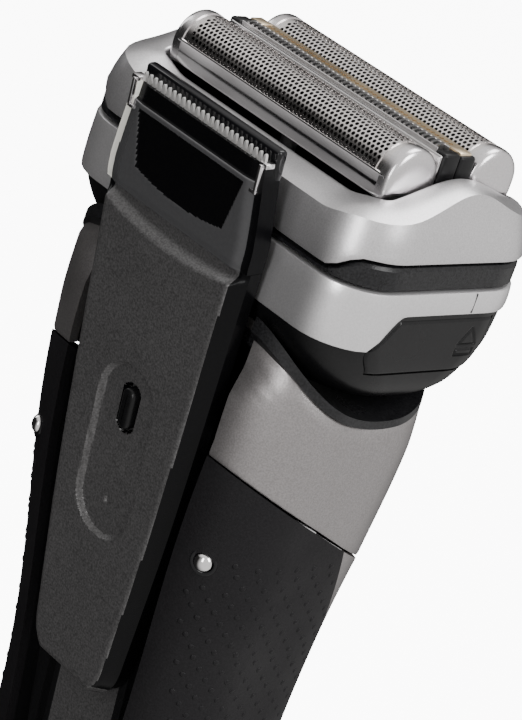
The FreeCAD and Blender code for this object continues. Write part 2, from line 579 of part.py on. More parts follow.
def middle_pieces():
    """Skin-guard comb and the pale gold trimmer between the foils."""
    long_reach = ("-foil_half", "foil_half")
    short_reach = ("-20.5", "20.5")
    bar = block("guard_bar", short_reach, ("0.65", "1.2"), ("158.2", "162.2"))
    carrier = block("comb_carrier", long_reach, ("-1.8", "0.65"), ("155", "161"))
    comb_form = block("comb_form", short_reach, ("-1.8", "0.65"), ("161", "162.5"))
    comb_gaps = [block(f"comb_gap_{index}", (f"{index} * 1.6 - 19.9", f"{index} * 1.6 - 19.2"),
                       ("-1.55", "0.35"),
                       ("161.6", "164")) for index in range(25)]
    comb = cut("comb_lamellae", comb_form, *comb_gaps)
    gold_carrier = block("gold_carrier", long_reach, ("-4.9", "-2.15"), ("155", "160.6"))
    gold_form = block("gold_form", short_reach, ("-4.9", "-2.15"), ("160.6", "162"))
    gold_slot = block("gold_slot", ("-19.5", "19.5"), ("-3.95", "-3.05"), ("161", "164"))
    gold = cut("gold_trimmer", gold_form, gold_slot)
    return [bar, carrier, comb, gold_carrier, gold]


# ----------------------------------------------------------------- trimmer
def trimmer_pieces():
    """Slide plate, carriage, glossy cover, blades, thumb button and end clips."""
    slide = leaning("trimmer_slide", [
        ("-slide_low_half + 5", "0"), ("slide_low_half - 5", "0"), ("slide_low_half - 1.2", "2.6"),
        ("slide_low_half", "8"), ("slide_mid_half", "slide_mid"), ("slide_top_half", "slide_top"),
        ("-slide_top_half", "slide_top"), ("-slide_mid_half", "slide_mid"), ("-slide_low_half", "8"),
        ("-slide_low_half + 1.2", "2.6")], "0", "-slide_thick")
    raised = polygon(slide, "XZ_Plane", ("0", "0", "-slide_bulge"), [
        ("-4", "4.5"), ("4", "4.5"), ("slide_low_half - bulge_inset", "9"),
        ("slide_mid_half - bulge_inset", "slide_mid"), ("slide_top_half - 2.4", "slide_top - 6"),
        ("2.4 - slide_top_half", "slide_top - 6"), ("bulge_inset - slide_mid_half", "slide_mid"),
        ("bulge_inset - slide_low_half", "9")])
    pad(slide, raised, "slide_bulge + 0.1")
    leaning_hole(slide, "11.4", "26", "5.6", "37.3", "slide_bulge", "0.9")
    leaning_hole(slide, "2 * (thumb_half_x + thumb_gap)", "2 * (thumb_half_z + thumb_gap)",
                 "thumb_half_x + thumb_gap - 0.05", "thumb_level", "0.6", "slide_thick + 0.7")
    carriage = leaning("trimmer_carriage", [("-7", "6"), ("7", "6"), ("7", "62"), ("-7", "62")],
                       "-slide_thick", "-4.3")
    leaning_hole(carriage, "2 * (thumb_half_x + thumb_gap)", "2 * (thumb_half_z + thumb_gap)",
                 "thumb_half_x + thumb_gap - 0.05", "thumb_level", "-slide_thick", "3")
    thumb = new_body("trimmer_button")
    thumb_outline = rounded(thumb, "XZ_Plane", ("0", "thumb_level", "-slide_bulge"), "2 * thumb_half_x",
                            "2 * thumb_half_z", "thumb_half_x - 0.05")
    pad(thumb, thumb_outline, "slide_bulge + 3.6")
    cover = leaning("trimmer_cover", [
        ("-slide_top_half", "slide_top"), ("slide_top_half", "slide_top"),
        ("slide_top_half + 0.1", "cover_shoulder"), ("cover_top_half", "cover_top"),
        ("-cover_top_half", "cover_top"), ("-slide_top_half - 0.1", "cover_shoulder")],
        "cover_bulge", "-slide_thick")
    slot_room = leaning_block("blade_slot", ("-blade_half - 0.2", "blade_half + 0.2"), ("-1.6", "-0.1"),
                              ("cover_top - 4.5", "cover_top + 1"))
    back = leaning_block("cover_back", ("-cover_top_half", "cover_top_half"), ("-slide_thick", "-1.7"),
                         ("cover_top - 1", "blade_top + 0.4"))
    cover_cut = joined("trimmer_cover_cut", cut("cover_slotted", lean(cover), slot_room), back)
    cover.Label = "trimmer_cover_form"
    cover_cut.Label = "trimmer_cover"
    fixed = leaning("trimmer_fixed_blade", [("-blade_half", "cover_top - 4"),
                    ("blade_half", "cover_top - 4"),
                                            ("blade_half", "blade_top"), ("-blade_half", "blade_top")],
                    "-0.1", "-0.5")
    tooth_gaps(fixed, "blade_half", "blade_top", "1.5", "-0.1", "0.4")
    moving = leaning("trimmer_moving_blade", [
        ("-blade_half + 1", "cover_top - 3"), ("blade_half - 1", "cover_top - 3"),
        ("blade_half - 1", "blade_top - 0.6"), ("-blade_half + 1", "blade_top - 0.6")], "-0.6", "-1.0")
    tooth_gaps(moving, "(blade_half - 1)", "blade_top - 0.6", "1.2", "-0.6", "0.4")
    clips = joined("trimmer_clips", *[
        leaning_block(f"clip_{side}", span, ("cover_bulge", "cover_bulge + 0.5"),
                      ("cover_top - 5", "cover_top - 1"))
        for side, span in (("left", ("-13.4", "-12.6")), ("right", ("12.6", "13.4")))])
    plain = [slide, carriage, thumb, fixed, moving]
    return [lean(item) for item in plain] + [cover_cut, clips]


# ------------------------------------------------------------------ export
def build():
    tools = handle_tools()
    nodes = skin_pieces(tools) + neck_pieces(tools) + base_pieces() + inner_pieces() + rail_pieces()
    nodes += head_pieces() + deck_pieces() + cassette_pieces()
    nodes += foil_pieces("rear") + foil_pieces("front") + middle_pieces() + trimmer_pieces()
    return nodes


def check(nodes):
    """Stop when an object failed to compute or a sub-part has no sound shape."""
    for item in DOC.Objects:
        if "Invalid" in item.State or "Error" in item.State:
            raise RuntimeError(f"{item.Name} is in state {item.State}")
    for item in nodes:
        if item.Shape.isNull() or not item.Shape.isValid() or not item.Shape.Solids:
            raise RuntimeError(f"{item.Label} has no valid solid")


def export(nodes):
    os.makedirs("parts", exist_ok=True)
    for item in nodes:
        item.Shape.exportStep(f"parts/{item.Label}.step")
        print(item.Label, len(item.Shape.Solids), round(item.Shape.Volume, 1))


sub_parts = build()
DOC.recompute()
check(sub_parts)
export(sub_parts)
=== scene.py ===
import json
import math
import bpy
import bmesh
from mathutils import Matrix, Vector
from mathutils.bvhtree import BVHTree


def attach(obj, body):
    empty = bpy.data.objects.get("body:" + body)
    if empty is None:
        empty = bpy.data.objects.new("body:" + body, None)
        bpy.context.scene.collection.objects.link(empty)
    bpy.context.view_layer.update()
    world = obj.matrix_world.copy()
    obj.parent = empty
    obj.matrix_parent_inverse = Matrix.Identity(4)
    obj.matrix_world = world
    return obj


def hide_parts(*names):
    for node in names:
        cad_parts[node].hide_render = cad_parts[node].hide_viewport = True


# Cordless foil shaver, seen from behind and above its left end. Work is in millimetres
# and turned into metres when a mesh is made. Z is up, +Y is the trimmer side.

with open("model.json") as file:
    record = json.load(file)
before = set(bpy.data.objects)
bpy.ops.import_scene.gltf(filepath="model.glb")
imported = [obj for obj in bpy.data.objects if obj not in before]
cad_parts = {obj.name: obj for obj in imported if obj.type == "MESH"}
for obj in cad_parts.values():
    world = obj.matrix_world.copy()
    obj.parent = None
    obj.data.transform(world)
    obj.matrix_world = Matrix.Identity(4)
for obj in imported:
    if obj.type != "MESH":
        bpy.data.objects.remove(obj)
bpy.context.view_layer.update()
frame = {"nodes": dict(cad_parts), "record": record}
MM = 0.001
SLOT_OF = {row["node"]: row["material_slot"] for row in frame["record"]["subparts"]}


# ---------------------------------------------------------------- camera, light
def added(name, data):
    """A new object in the scene."""
    item = bpy.data.objects.new(name, data)
    bpy.context.scene.collection.objects.link(item)
    return item


def look(place, heading, pitch, roll, lens):
    """A camera at a place in mm, turned by its heading, pitch and roll in degrees."""
    heading, pitch, roll = math.radians(heading), math.radians(pitch), math.radians(roll)
    flat = math.cos(pitch)
    forward = Vector((flat * math.cos(heading), flat * math.sin(heading), math.sin(pitch)))
    level = forward.cross(Vector((0, 0, 1))).normalized()
    right = math.cos(roll) * level + math.sin(roll) * level.cross(forward)
    data = bpy.data.cameras.new("camera")
    data.sensor_fit = "VERTICAL"
    data.sensor_height = 24.0
    data.lens = lens
    data.clip_start = 0.01
    item = added("camera", data)
    turn = Matrix((right, right.cross(forward), -forward)).transposed()
    item.matrix_world = Matrix.Translation(Vector(place) * MM) @ turn.to_4x4()
    bpy.context.scene.camera = item


look((-258.8, 289.05, 275.5), heading=-48.481, pitch=-21.723, roll=19.106, lens=100.2)


def area_light(name, place, aim, size, power):
    """A rectangular light; place, aim and size in metres."""
    data = bpy.data.lights.new(name, "AREA")
    data.shape = "RECTANGLE"
    data.size, data.size_y = size
    data.energy = power
    item = added(name, data)
    item.location = Vector(place)
    item.rotation_euler = (Vector(aim) - Vector(place)).to_track_quat("-Z", "Y").to_euler()


area_light("key", (-0.62, -0.10, 0.62), (0, 0, 0.13), (0.40, 0.50), 5.0)
area_light("back_strip", (-0.22, 0.60, 0.30), (0, 0, 0.13), (0.14, 0.45), 1.7)
area_light("right_fill", (0.62, 0.10, 0.42), (0, 0, 0.12), (0.20, 0.40), 0.7)
area_light("top", (0.05, -0.25, 0.75), (0, 0, 0.13), (0.35, 0.35), 2.2)


def new_node(nodes, kind, **values):
    """A shader node with values in its inputs, whose names have _ for a space."""
    node = nodes.new(f"ShaderNode{kind}")
    for name, value in values.items():
        node.inputs[name.replace("_", " ")].default_value = value
    return node


def studio():
    """A world that is bright on the left and above, dark on the right, and white to the camera."""
    world = bpy.data.worlds.new("world")
    bpy.context.scene.world = world
    world.use_nodes = True
    nodes, links = world.node_tree.nodes, world.node_tree.links
    lit = nodes["Background"]
    lit.inputs["Color"].default_value = (1, 0.985, 0.97, 1)
    seen = new_node(nodes, "Background", Color=(1, 1, 1, 1), Strength=9.0)
    place = new_node(nodes, "TexCoord")
    split = new_node(nodes, "SeparateXYZ")
    path = new_node(nodes, "LightPath")
    mix = new_node(nodes, "MixShader")
    most = new_node(nodes, "Math")
    most.operation = "MAXIMUM"
    links.new(place.outputs["Generated"], split.inputs["Vector"])
    for slot, (axis, start, end, low, high) in enumerate((("X", -0.50, 0.50, 1.0, 0.02),
                                                          ("Z", 0.25, 0.85, 0.0, 1.1))):
        span = new_node(nodes, "MapRange", From_Min=start, From_Max=end, To_Min=low, To_Max=high)
        span.interpolation_type = "SMOOTHSTEP"
        links.new(split.outputs[axis], span.inputs["Value"])
        links.new(span.outputs["Result"], most.inputs[slot])
    links.new(most.outputs[0], lit.inputs["Strength"])
    links.new(path.outputs["Is Camera Ray"], mix.inputs["Fac"])
    links.new(lit.outputs["Background"], mix.inputs[1])
    links.new(seen.outputs["Background"], mix.inputs[2])
    links.new(mix.outputs["Shader"], nodes["World Output"].inputs["Surface"])


studio()


# ------------------------------------------------------------------- materials
def material(name, color, rough, metal=0.0, grain=0.0, grain_size=0.25, fleck=0.0, rough_swing=0.0,
             coat=0.0, specular=0.5, stretch=(1, 1, 1)):
    """Moulded, painted or metal finish with grain in its bump, colour and roughness.

    grain is the bump height in mm, grain_size its size in mm, fleck the share by which the
    colour changes between grains, rough_swing the change of roughness over wider patches."""
    mat = bpy.data.materials.new(name)
    mat.use_nodes = True
    nodes, links = mat.node_tree.nodes, mat.node_tree.links
    shader = nodes["Principled BSDF"]
    for socket, value in (("Roughness", rough), ("Metallic", metal), ("Coat Weight", coat),
                          ("Coat Roughness", 0.05), ("Specular IOR Level", specular)):
        shader.inputs[socket].default_value = value
    place = new_node(nodes, "TexCoord")
    mapping = new_node(nodes, "Mapping", Scale=stretch)
    fine = new_node(nodes, "TexNoise", Scale=1.0 / (grain_size * MM), Detail=2.0)
    broad = new_node(nodes, "TexNoise", Scale=90.0, Detail=4.0)
    links.new(place.outputs["Object"], mapping.inputs["Vector"])
    links.new(mapping.outputs["Vector"], fine.inputs["Vector"])
    links.new(mapping.outputs["Vector"], broad.inputs["Vector"])
    ramp = new_node(nodes, "ValToRGB")
    dark = [max(0.0, channel * (1 - fleck)) for channel in color]
    light = [min(1.0, channel * (1 + fleck) + fleck * 0.01) for channel in color]
    for stop, place_on, shade in zip(ramp.color_ramp.elements, (0.3, 0.7), (dark, light)):
        stop.position = place_on
        stop.color = (*shade, 1)
    links.new(fine.outputs["Fac"], ramp.inputs["Fac"])
    links.new(ramp.outputs["Color"], shader.inputs["Base Color"])
    swing = new_node(nodes, "MapRange", From_Min=0.3, From_Max=0.7, To_Min=max(0.02, rough - rough_swing),
                     To_Max=min(1.0, rough + rough_swing))
    links.new(broad.outputs["Fac"], swing.inputs["Value"])
    links.new(swing.outputs["Result"], shader.inputs["Roughness"])
    if grain:
        bump = new_node(nodes, "Bump", Strength=1.0, Distance=grain * MM)
        links.new(fine.outputs["Fac"], bump.inputs["Height"])
        links.new(bump.outputs["Normal"], shader.inputs["Normal"])
    return mat


LOOKS = {
    "silver": material("silver_paint", (0.62, 0.61, 0.62), 0.33, 0.85, 0.012, 0.22, 0.10, 0.04),
    "ring_silver": material("ring_silver_paint", (0.74, 0.73, 0.74), 0.30, 0.80, 0.008, 0.25, 0.06, 0.03),
    "gunmetal": material("shoulder_paint", (0.30, 0.285, 0.285), 0.38, 0.85, 0.014, 0.25, 0.14, 0.05),
    "charcoal": material("charcoal_grain", (0.088, 0.086, 0.087), 0.42, 0.45, 0.022, 0.30, 0.35, 0.05),
    "black_plastic": material("black_moulded", (0.006, 0.006, 0.0065), 0.30, 0.0, 0.005, 0.4, 0.10, 0.06,
                              specular=0.22),
    "black_sparkle": material("black_sparkle", (0.007, 0.007, 0.008), 0.30, 0.0, 0.02, 0.26, 0.6, 0.06,
                              specular=0.28),
    "black_gloss": material("black_gloss", (0.005, 0.005, 0.006), 0.08, 0.0, 0.0, 0.5, 0.05, 0.02, 0.1,
                            specular=0.25),
    "smoke": material("smoked_cover", (0.13, 0.13, 0.135), 0.10, 0.55, 0.0, 0.5, 0.05, 0.02, 0.6),
    "rubber": material("rubber", (0.0065, 0.006, 0.007), 0.55, 0.0, 0.02, 0.3, 0.2, 0.08, specular=0.18),
    "chrome": material("chrome", (0.80, 0.79, 0.79), 0.13, 1.0, 0.0015, 0.3, 0.03, 0.05,
                       stretch=(0.15, 1, 1)),
    "satin_chrome": material("satin_chrome", (0.72, 0.70, 0.71), 0.24, 1.0, 0.003, 0.3, 0.04, 0.06),
    "foil": material("foil_sheet", (0.72, 0.69, 0.68), 0.22, 1.0, 0.002, 0.2, 0.06, 0.05),
    "steel": material("brushed_steel", (0.58, 0.57, 0.57), 0.28, 1.0, 0.004, 0.2, 0.08, 0.06,
                      stretch=(0.1, 1, 1)),
    "dark_steel": material("cutter_steel", (0.03, 0.028, 0.028), 0.5, 0.9, 0.004, 0.2, 0.15, 0.06),
    "pale_gold": material("pale_gold", (0.90, 0.74, 0.52), 0.28, 0.95, 0.004, 0.25, 0.08, 0.05),
    "copper": material("copper_wire", (0.62, 0.30, 0.15), 0.35, 0.9, 0.05, 0.25, 0.12, 0.05,
                       stretch=(0.2, 1, 1)),
    "battery_wrap": material("battery_wrap", (0.08, 0.22, 0.14), 0.35, 0.1, 0.004, 0.5, 0.08, 0.05),
    "board": material("board", (0.02, 0.12, 0.05), 0.35, 0.0, 0.02, 0.6, 0.2, 0.05),
    "tooth_steel": material("tooth_steel", (0.66, 0.65, 0.64), 0.30, 0.6, 0.002, 0.3, 0.05, 0.03),
    # Near-black with little shine: painted shade on the slide's flanks and on the cover's top step, one edge
    # and turned faces; also the cover's flat window.
    "black_and_painted_shade": material("black_with_painted_shade", (0.003, 0.003, 0.0035), 0.25, 0.0, 0.0, 0.5, 0.05, 0.02,
                           specular=0.10),
    # Pale strip: a painted highlight along one clear edge of the trimmer cover.
    "clear_edge_painted_highlight": material("clear_edge_painted_highlight", (0.80, 0.79, 0.73), 0.18, 0.0, 0.0, 0.5, 0.03, 0.03, 0.4),
    "dark_line": material("dark_line", (0.02, 0.02, 0.02), 0.6, 0.0, 0.0, 0.5, 0.05, 0.02),
}


# ------------------------------------------------------------------ mesh making
SHARP = 32.0


def smooth(value):
    """0 below 0, 1 above 1 and an even S between."""
    value = min(1.0, max(0.0, value))
    return value * value * (3 - 2 * value)


def both_ends(near, far):
    """Spans between two distances from the middle, at the left and at the right end."""
    return (-far, -near), (near, far)


def outline(half_x, half_y, turn, middle=0.0, along=40, across=26, bend=8):
    """Points of a rounded rectangle, counterclockwise, the same number for any size."""
    in_x, in_y = half_x - turn, half_y - turn
    runs = ((half_x, -in_y, half_x, in_y, 0, across, in_x, in_y),
            (in_x, half_y, -in_x, half_y, 90, along, -in_x, in_y),
            (-half_x, in_y, -half_x, -in_y, 180, across, -in_x, -in_y),
            (-in_x, -half_y, in_x, -half_y, 270, along, in_x, -in_y))
    points = []
    for x0, y0, x1, y1, start, count, cx, cy in runs:
        for index in range(count):
            share = index / count
            points.append((x0 + (x1 - x0) * share, y0 + (y1 - y0) * share + middle))
        for index in range(bend):
            angle = math.radians(start + 90 * index / bend)
            points.append((cx + turn * math.cos(angle), cy + turn * math.sin(angle) + middle))
    return points


def mesh_of(name, verts, faces, weld=False):
    """A mesh from vertices in mm, with its faces turned outwards."""
    mesh = bpy.data.meshes.new(name)
    mesh.from_pydata([Vector(vert) * MM for vert in verts], [], faces)
    work = bmesh.new()
    work.from_mesh(mesh)
    if weld:
        bmesh.ops.remove_doubles(work, verts=work.verts, dist=1e-6)
    bmesh.ops.recalc_face_normals(work, faces=work.faces)
    work.to_mesh(mesh)
    work.free()
    return mesh


def shaded(mesh, angle=SHARP):
    """Smooth shading up to an angle."""
    mesh.shade_smooth()
    mesh.set_sharp_from_angle(angle=math.radians(angle))
    return mesh


def make(name, verts, faces, body, slot, look_name=None, angle=SHARP):
    """A piece from vertices in mm, attached to its body, with the material of its look, or of its slot when no
    look is named.
    """
    mesh = shaded(mesh_of(name, verts, faces, weld=True), angle)
    item = added(name, mesh)
    mesh.materials.append(LOOKS[look_name or slot])
    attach(item, body)
    return item


def skin(rings, closed=False):
    """Faces between rings of equal length, joined last to first when closed and capped when not."""
    count = len(rings[0])
    verts = [point for ring in rings for point in ring]
    faces = []
    pairs = len(rings) if closed else len(rings) - 1
    for row in range(pairs):
        low, high = row * count, ((row + 1) % len(rings)) * count
        for index in range(count):
            after = (index + 1) % count
            faces.append((low + index, low + after, high + after, high + index))
    if not closed:
        faces.append(tuple(reversed(range(count))))
        faces.append(tuple(range((len(rings) - 1) * count, len(rings) * count)))
    return verts, faces


def grid_rim(rows, columns):
    """The border of a grid of (rows + 1) by (columns + 1) points, in order."""
    width = columns + 1
    return (list(range(width)) + [row * width + columns for row in range(1, rows + 1)]
            + [rows * width + column for column in range(columns - 1, -1, -1)]
            + [row * width for row in range(rows - 1, 0, -1)])


def merged(parts):
    """One vertex and face list from many."""
    verts, faces = [], []
    for more_verts, more_faces in parts:
        start = len(verts)
        verts += more_verts
        faces += [tuple(start + index for index in face) for face in more_faces]
    return verts, faces


def rounded_box(low, high, radius, steps=3):
    """A box with rounded edges, as vertices and faces."""
    work = bmesh.new()
    bmesh.ops.create_cube(work, size=1.0)
    low, high = Vector(low), Vector(high)
    for vert in work.verts:
        vert.co = Vector(((low[i] + high[i]) / 2 + vert.co[i] * (high[i] - low[i]) for i in range(3)))
    bmesh.ops.bevel(work, geom=work.edges[:], offset=radius, segments=steps, profile=0.5,
                    affect="EDGES", clamp_overlap=True)
    work.verts.ensure_lookup_table()
    verts = [tuple(vert.co) for vert in work.verts]
    faces = [tuple(vert.index for vert in face.verts) for face in work.faces]
    work.free()
    return verts, faces


def carved(item, *tools):
    """Cut tools, each vertices and faces in mm, out of a piece and apply the cuts."""
    cutters = []
    for number, (verts, faces) in enumerate(tools):
        cutter = added("cutter", mesh_of("cutter", verts, faces))
        cutters.append(cutter)
        change = item.modifiers.new(f"cut_{number}", "BOOLEAN")
        change.object = cutter
        change.solver = "EXACT"
    apply_all(item)
    for cutter in cutters:
        bpy.data.objects.remove(cutter)


def apply_all(item):
    """Turn a piece's modifiers into its mesh."""
    graph = bpy.context.evaluated_depsgraph_get()
    mesh = bpy.data.meshes.new_from_object(item.evaluated_get(graph))
    item.modifiers.clear()
    item.data = shaded(mesh)


def at_level(rows, level):
    """Values of a (level, values...) table on a smooth curve through its rows."""
    if level <= rows[0][0]:
        return rows[0][1:]
    if level >= rows[-1][0]:
        return rows[-1][1:]
    spot = next(i for i in range(len(rows) - 1) if rows[i][0] <= level <= rows[i + 1][0])
    a, b = rows[spot], rows[spot + 1]
    before, after = rows[max(0, spot - 1)], rows[min(len(rows) - 1, spot + 2)]
    gap = b[0] - a[0]
    t = (level - a[0]) / gap
    values = []
    for k in range(1, len(a)):
        slope_a = (b[k] - before[k]) / (b[0] - before[0]) * gap
        slope_b = (after[k] - a[k]) / (after[0] - a[0]) * gap
        values.append((2 * t ** 3 - 3 * t ** 2 + 1) * a[k] + (t ** 3 - 2 * t ** 2 + t) * slope_a
                      + (3 * t ** 2 - 2 * t ** 3) * b[k] + (t ** 3 - t ** 2) * slope_b)
    return values


# ------------------------------------------------------------------ the cassette
HEAD = (29.6, 17.6, 8.0)
SHELL_FOOT, SHELL_FOOT_RISE = 147.5, 2.7
BAND_LOW = 146.4
RING_TOP = 146.0
SHELL_ROWS = [(147.0, 29.6, 17.6, 8.0), (150.0, 29.6, 17.6, 8.0), (153.0, 29.25, 17.15, 8.0),
              (156.0, 28.5, 16.3, 7.8), (159.0, 27.8, 15.5, 7.6)]
MOUTH = (23.3, 12.45, 1.6, -1.85)
HUMP_MIDDLE, HUMP_WIDTH = -2.0, 7.0
WALL = 1.9


def hump(y):
    """How far the shell's end rises between the foils, from 0 to 1."""
    return math.exp(-((y - HUMP_MIDDLE) / HUMP_WIDTH) ** 2 / 2)


def inset_head(inset):
    """The head's outline, drawn in by some way."""
    return outline(*(size - inset for size in HEAD))


def shell_low(x):
    """The shell's lower edge, which steps up near the ends."""
    return SHELL_FOOT + SHELL_FOOT_RISE * smooth((abs(x) - 23.0) / 4.8)


def shell_crease(x, y):
    """The line where the shell's wall turns into its shoulder."""
    return 153.9 + smooth((abs(x) - 19.0) / 7.0) * (0.9 + 4.6 * hump(y))


def shell_rim(x, y):
    """The edge of the mouth that the foils stand in."""
    return 155.1 + smooth((abs(x) - 17.0) / 6.0) * (0.5 + 4.1 * hump(y))


def shell_piece():
    """Silver shell of the cassette: a waisted wall, a rising shoulder and the mouth's lip."""
    base = outline(*HEAD)
    rings = []
    for inset, lift in ((1.6, 0.5), (1.4, 0.0), (0.28, 0.0), (0.06, 0.12), (0.0, 0.4)):
        rings.append([(x, y, shell_low(bx) + lift) for (x, y), (bx, _) in zip(inset_head(inset), base)])
    for share in (0.12, 0.25, 0.4, 0.55, 0.7, 0.82, 0.92, 0.97, 1.0):
        ring = []
        for index, (bx, by) in enumerate(base):
            low, high = shell_low(bx) + 0.4, shell_crease(bx, by)
            level = low + (high - low) * share
            ring.append((*outline(*at_level(SHELL_ROWS, level))[index], level))
        rings.append(ring)
    last = rings[-1]
    lip = outline(MOUTH[0] + 0.5, MOUTH[1] + 0.5, MOUTH[2] + 0.5, MOUTH[3])
    for share in (0.04, 0.12, 0.35, 0.6, 0.85, 0.96, 1.0):
        ring = []
        for (x0, y0, z0), (x1, y1) in zip(last, lip):
            z1 = shell_rim(x1, y1)
            crown = 0.30 * math.sin(math.pi * share) * smooth((abs(x0) - 19) / 6)
            ring.append((x0 + (x1 - x0) * share, y0 + (y1 - y0) * share, z0 + (z1 - z0) * share + crown))
        rings.append(ring)
    for grow, drop in ((0.25, 0.08), (0.05, 0.35), (0.0, 0.8), (0.0, 3.6), (1.2, 3.7)):
        plan = outline(MOUTH[0] + grow, MOUTH[1] + grow, MOUTH[2] + grow, MOUTH[3])
        rings.append([(x, y, shell_rim(x, y) - drop) for x, y in plan])
    rings.append([(x, y, 151.0) for x, y in inset_head(WALL)])
    item = make("shell_skin", *skin(rings, closed=True), "cassette", "silver", angle=40)
    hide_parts("cassette_shell")


def band_piece():
    """Black band between the silver ring and the shell, widest at the ends."""
    base = outline(*HEAD)
    rings = []
    for inset, lift in ((WALL, 0.0), (0.5, 0.0), (0.32, 0.15)):
        rings.append([(x, y, BAND_LOW + lift) for x, y in inset_head(inset)])
    for inset, drop in ((0.30, 0.55), (0.65, 0.1), (1.0, 0.0), (WALL, 0.0)):
        ring = []
        for (x, y), (bx, _) in zip(inset_head(inset), base):
            high = shell_low(bx) - 0.5
            ring.append((x, y, high - drop * (high - BAND_LOW) / 3.3))
        rings.append(ring)
    item = make("band_skin", *skin(rings, closed=True), "cassette", "black_plastic", "black_sparkle", 30)
    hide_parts("cassette_band")


# ------------------------------------------------------------------- the head
ARCH_LOW, ARCH_RISE, ARCH_START, ARCH_RUN = 137.6, 5.05, 11.5, 5.4


def arch(y):
    """The silver ring's lower edge: low behind, and stepped up over the buttons and the front."""
    return ARCH_LOW + ARCH_RISE * smooth((ARCH_START - y) / ARCH_RUN)


def ring_piece():
    """Silver ring of the head, and the thin parting line in each of its ends."""
    base = outline(*HEAD)
    rows = ((WALL, 0, 0.25), (0.55, 0, 0.05), (0.22, 0, 0.0), (0.05, 0, 0.12), (0.0, 0, 0.4), (-0.08, 0.25, 0),
            (-0.1, 0.5, 0), (-0.06, 0.75, 0), (0.0, 1, -0.35), (0.08, 1, -0.1), (0.25, 1, 0.0), (WALL, 1, 0.0))
    rings = []
    for inset, share, lift in rows:
        rings.append([(x, y, arch(by) + (RING_TOP - arch(by)) * share + lift)
                      for (x, y), (_, by) in zip(inset_head(inset), base)])
    item = make("ring_skin", *skin(rings, closed=True), "head", "silver", "ring_silver", 40)
    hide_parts("head_ring")
    seams = []
    for side in (-1, 1):
        x = side * HEAD[0]
        seams.append(rounded_box((x - 0.13, -6.2, arch(-6.0) + 0.3), (x + 0.13, -6.06, 145.8), 0.03, 1))
    make("ring_seams", *merged(seams), "head", "silver", "dark_line")


BOWL_ROWS = [(127.7, 21.4, 7.0, 6.5), (128.2, 24.2, 9.0, 7.8), (129.5, 26.9, 11.1, 9.0),
             (131.5, 28.45, 13.3, 9.0), (134.5, 29.0, 15.6, 9.0), (137.7, 29.2, 17.0, 8.6),
             (143.0, 29.4, 17.38, 8.2)]
BOWL_FOOT = BOWL_ROWS[0][0]
BOWL_SPLIT = 137.0
BOWL_WALL = 1.7
KEY_LOW, KEY_HIGH, KEY_FRONT = 133.9, 141.95, -11.6
KEY_RIM, KEY_GAP, KEY_BACK = 0.95, 0.09, 25.9
EJECT = [((-7.9, 140.5), (-6.2, 138.0)), ((-6.2, 138.0), (-9.6, 138.0)), ((-9.6, 138.0), (-7.9, 140.5)),
         ((-6.2, 137.3), (-9.6, 137.3)), ((-9.6, 137.3), (-9.6, 136.4)), ((-9.6, 136.4), (-6.2, 136.4)),
         ((-6.2, 136.4), (-6.2, 137.3))]


def bowl_x(level, y, proud=0.0):
    """How far the bowl's end stands from the middle, at a level and a depth."""
    half_x, half_y, turn = at_level(BOWL_ROWS, level)
    over = max(0.0, abs(y) - (half_y - turn))
    return half_x - (turn - math.sqrt(max(0.0, turn * turn - over * over))) + proud


def key_rear(level):
    """The release button's rear edge at a level, one rim's width inside the arch and drawn in below."""
    rise = min(1.0, max(0.0, (level - ARCH_LOW) / ARCH_RISE))
    share = 0.5 - math.sin(math.asin(1 - 2 * rise) / 3)
    return ARCH_START - ARCH_RUN * share - KEY_RIM - 1.6 * smooth((BOWL_SPLIT - level) / 3.4)


def key_prism(grow, side):
    """The release button's outline, drawn out along X through the bowl's end."""
    levels = [KEY_LOW - grow + (KEY_HIGH - KEY_LOW + 2 * grow) * i / 24 for i in range(25)]
    loop = [(key_rear(min(KEY_HIGH, max(KEY_LOW, z))) + grow, z) for z in levels]
    loop += [(KEY_FRONT - grow, levels[-1]), (KEY_FRONT - grow, levels[0])]
    near, far = (24.2, 31.5) if side > 0 else (-31.5, -24.2)
    return skin([[(near, y, z) for y, z in loop], [(far, y, z) for y, z in loop]])


def bowl_piece():
    """Black bowl under the ring, a closed cup with the neck's slot and the two buttons' openings."""
    base = outline(*HEAD)
    rings = []
    for share in (0.0, 0.15, 0.35, 0.55, 0.75, 0.9, 1.0):
        ring = []
        for index, (_, by) in enumerate(base):
            top = arch(by) + 0.9
            level = BOWL_SPLIT + (top - BOWL_SPLIT) * (1 - share)
            ring.append((*outline(*at_level(BOWL_ROWS, level))[index], level))
        rings.append(ring)
    for level in (136.2, 135.3, 134.4, 133.4, 132.4, 131.5, 130.7, 130.0, 129.4, 128.8, 128.3, 128.0, 127.8,
                  127.72):
        rings.append([(x, y, level) for x, y in outline(*at_level(BOWL_ROWS, level))])
    rings.append([(x, y, BOWL_FOOT) for x, y in outline(*(size - 0.6 for size in BOWL_ROWS[0][1:]))])
    outside = len(rings)
    for level in (129.5, 130.6, 132.0, 134.0, 137.0):
        sizes = at_level(BOWL_ROWS, level - BOWL_WALL)
        rings.append([(x, y, level) for x, y in outline(*(size - BOWL_WALL for size in sizes))])
    rings.append([(x * 0.93, y * 0.9, z) for x, y, z in rings[0]])
    verts, faces = skin(rings, closed=True)
    count = len(base)
    bridge = {outside - 1, outside}
    kept = [face for face in faces if {index // count for index in face} != bridge]
    kept.append(tuple(range((outside - 1) * count, outside * count)))
    kept.append(tuple(reversed(range(outside * count, (outside + 1) * count))))
    item = make("bowl_skin", verts, kept, "head", "black_plastic", angle=40)
    neck_slot = rounded_box((-8.2, -9.8, 120), (8.2, 7.0, BOWL_SPLIT), 0.5, 1)
    carved(item, neck_slot, key_prism(KEY_GAP, -1), key_prism(KEY_GAP, 1))
    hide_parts("head_bowl")


def near_line(y, z, a, b):
    """Distance of a point from a line piece."""
    ay, az = a
    dy, dz = b[0] - ay, b[1] - az
    share = min(1.0, max(0.0, ((y - ay) * dy + (z - az) * dz) / (dy * dy + dz * dz)))
    return math.hypot(y - ay - share * dy, z - az - share * dz)


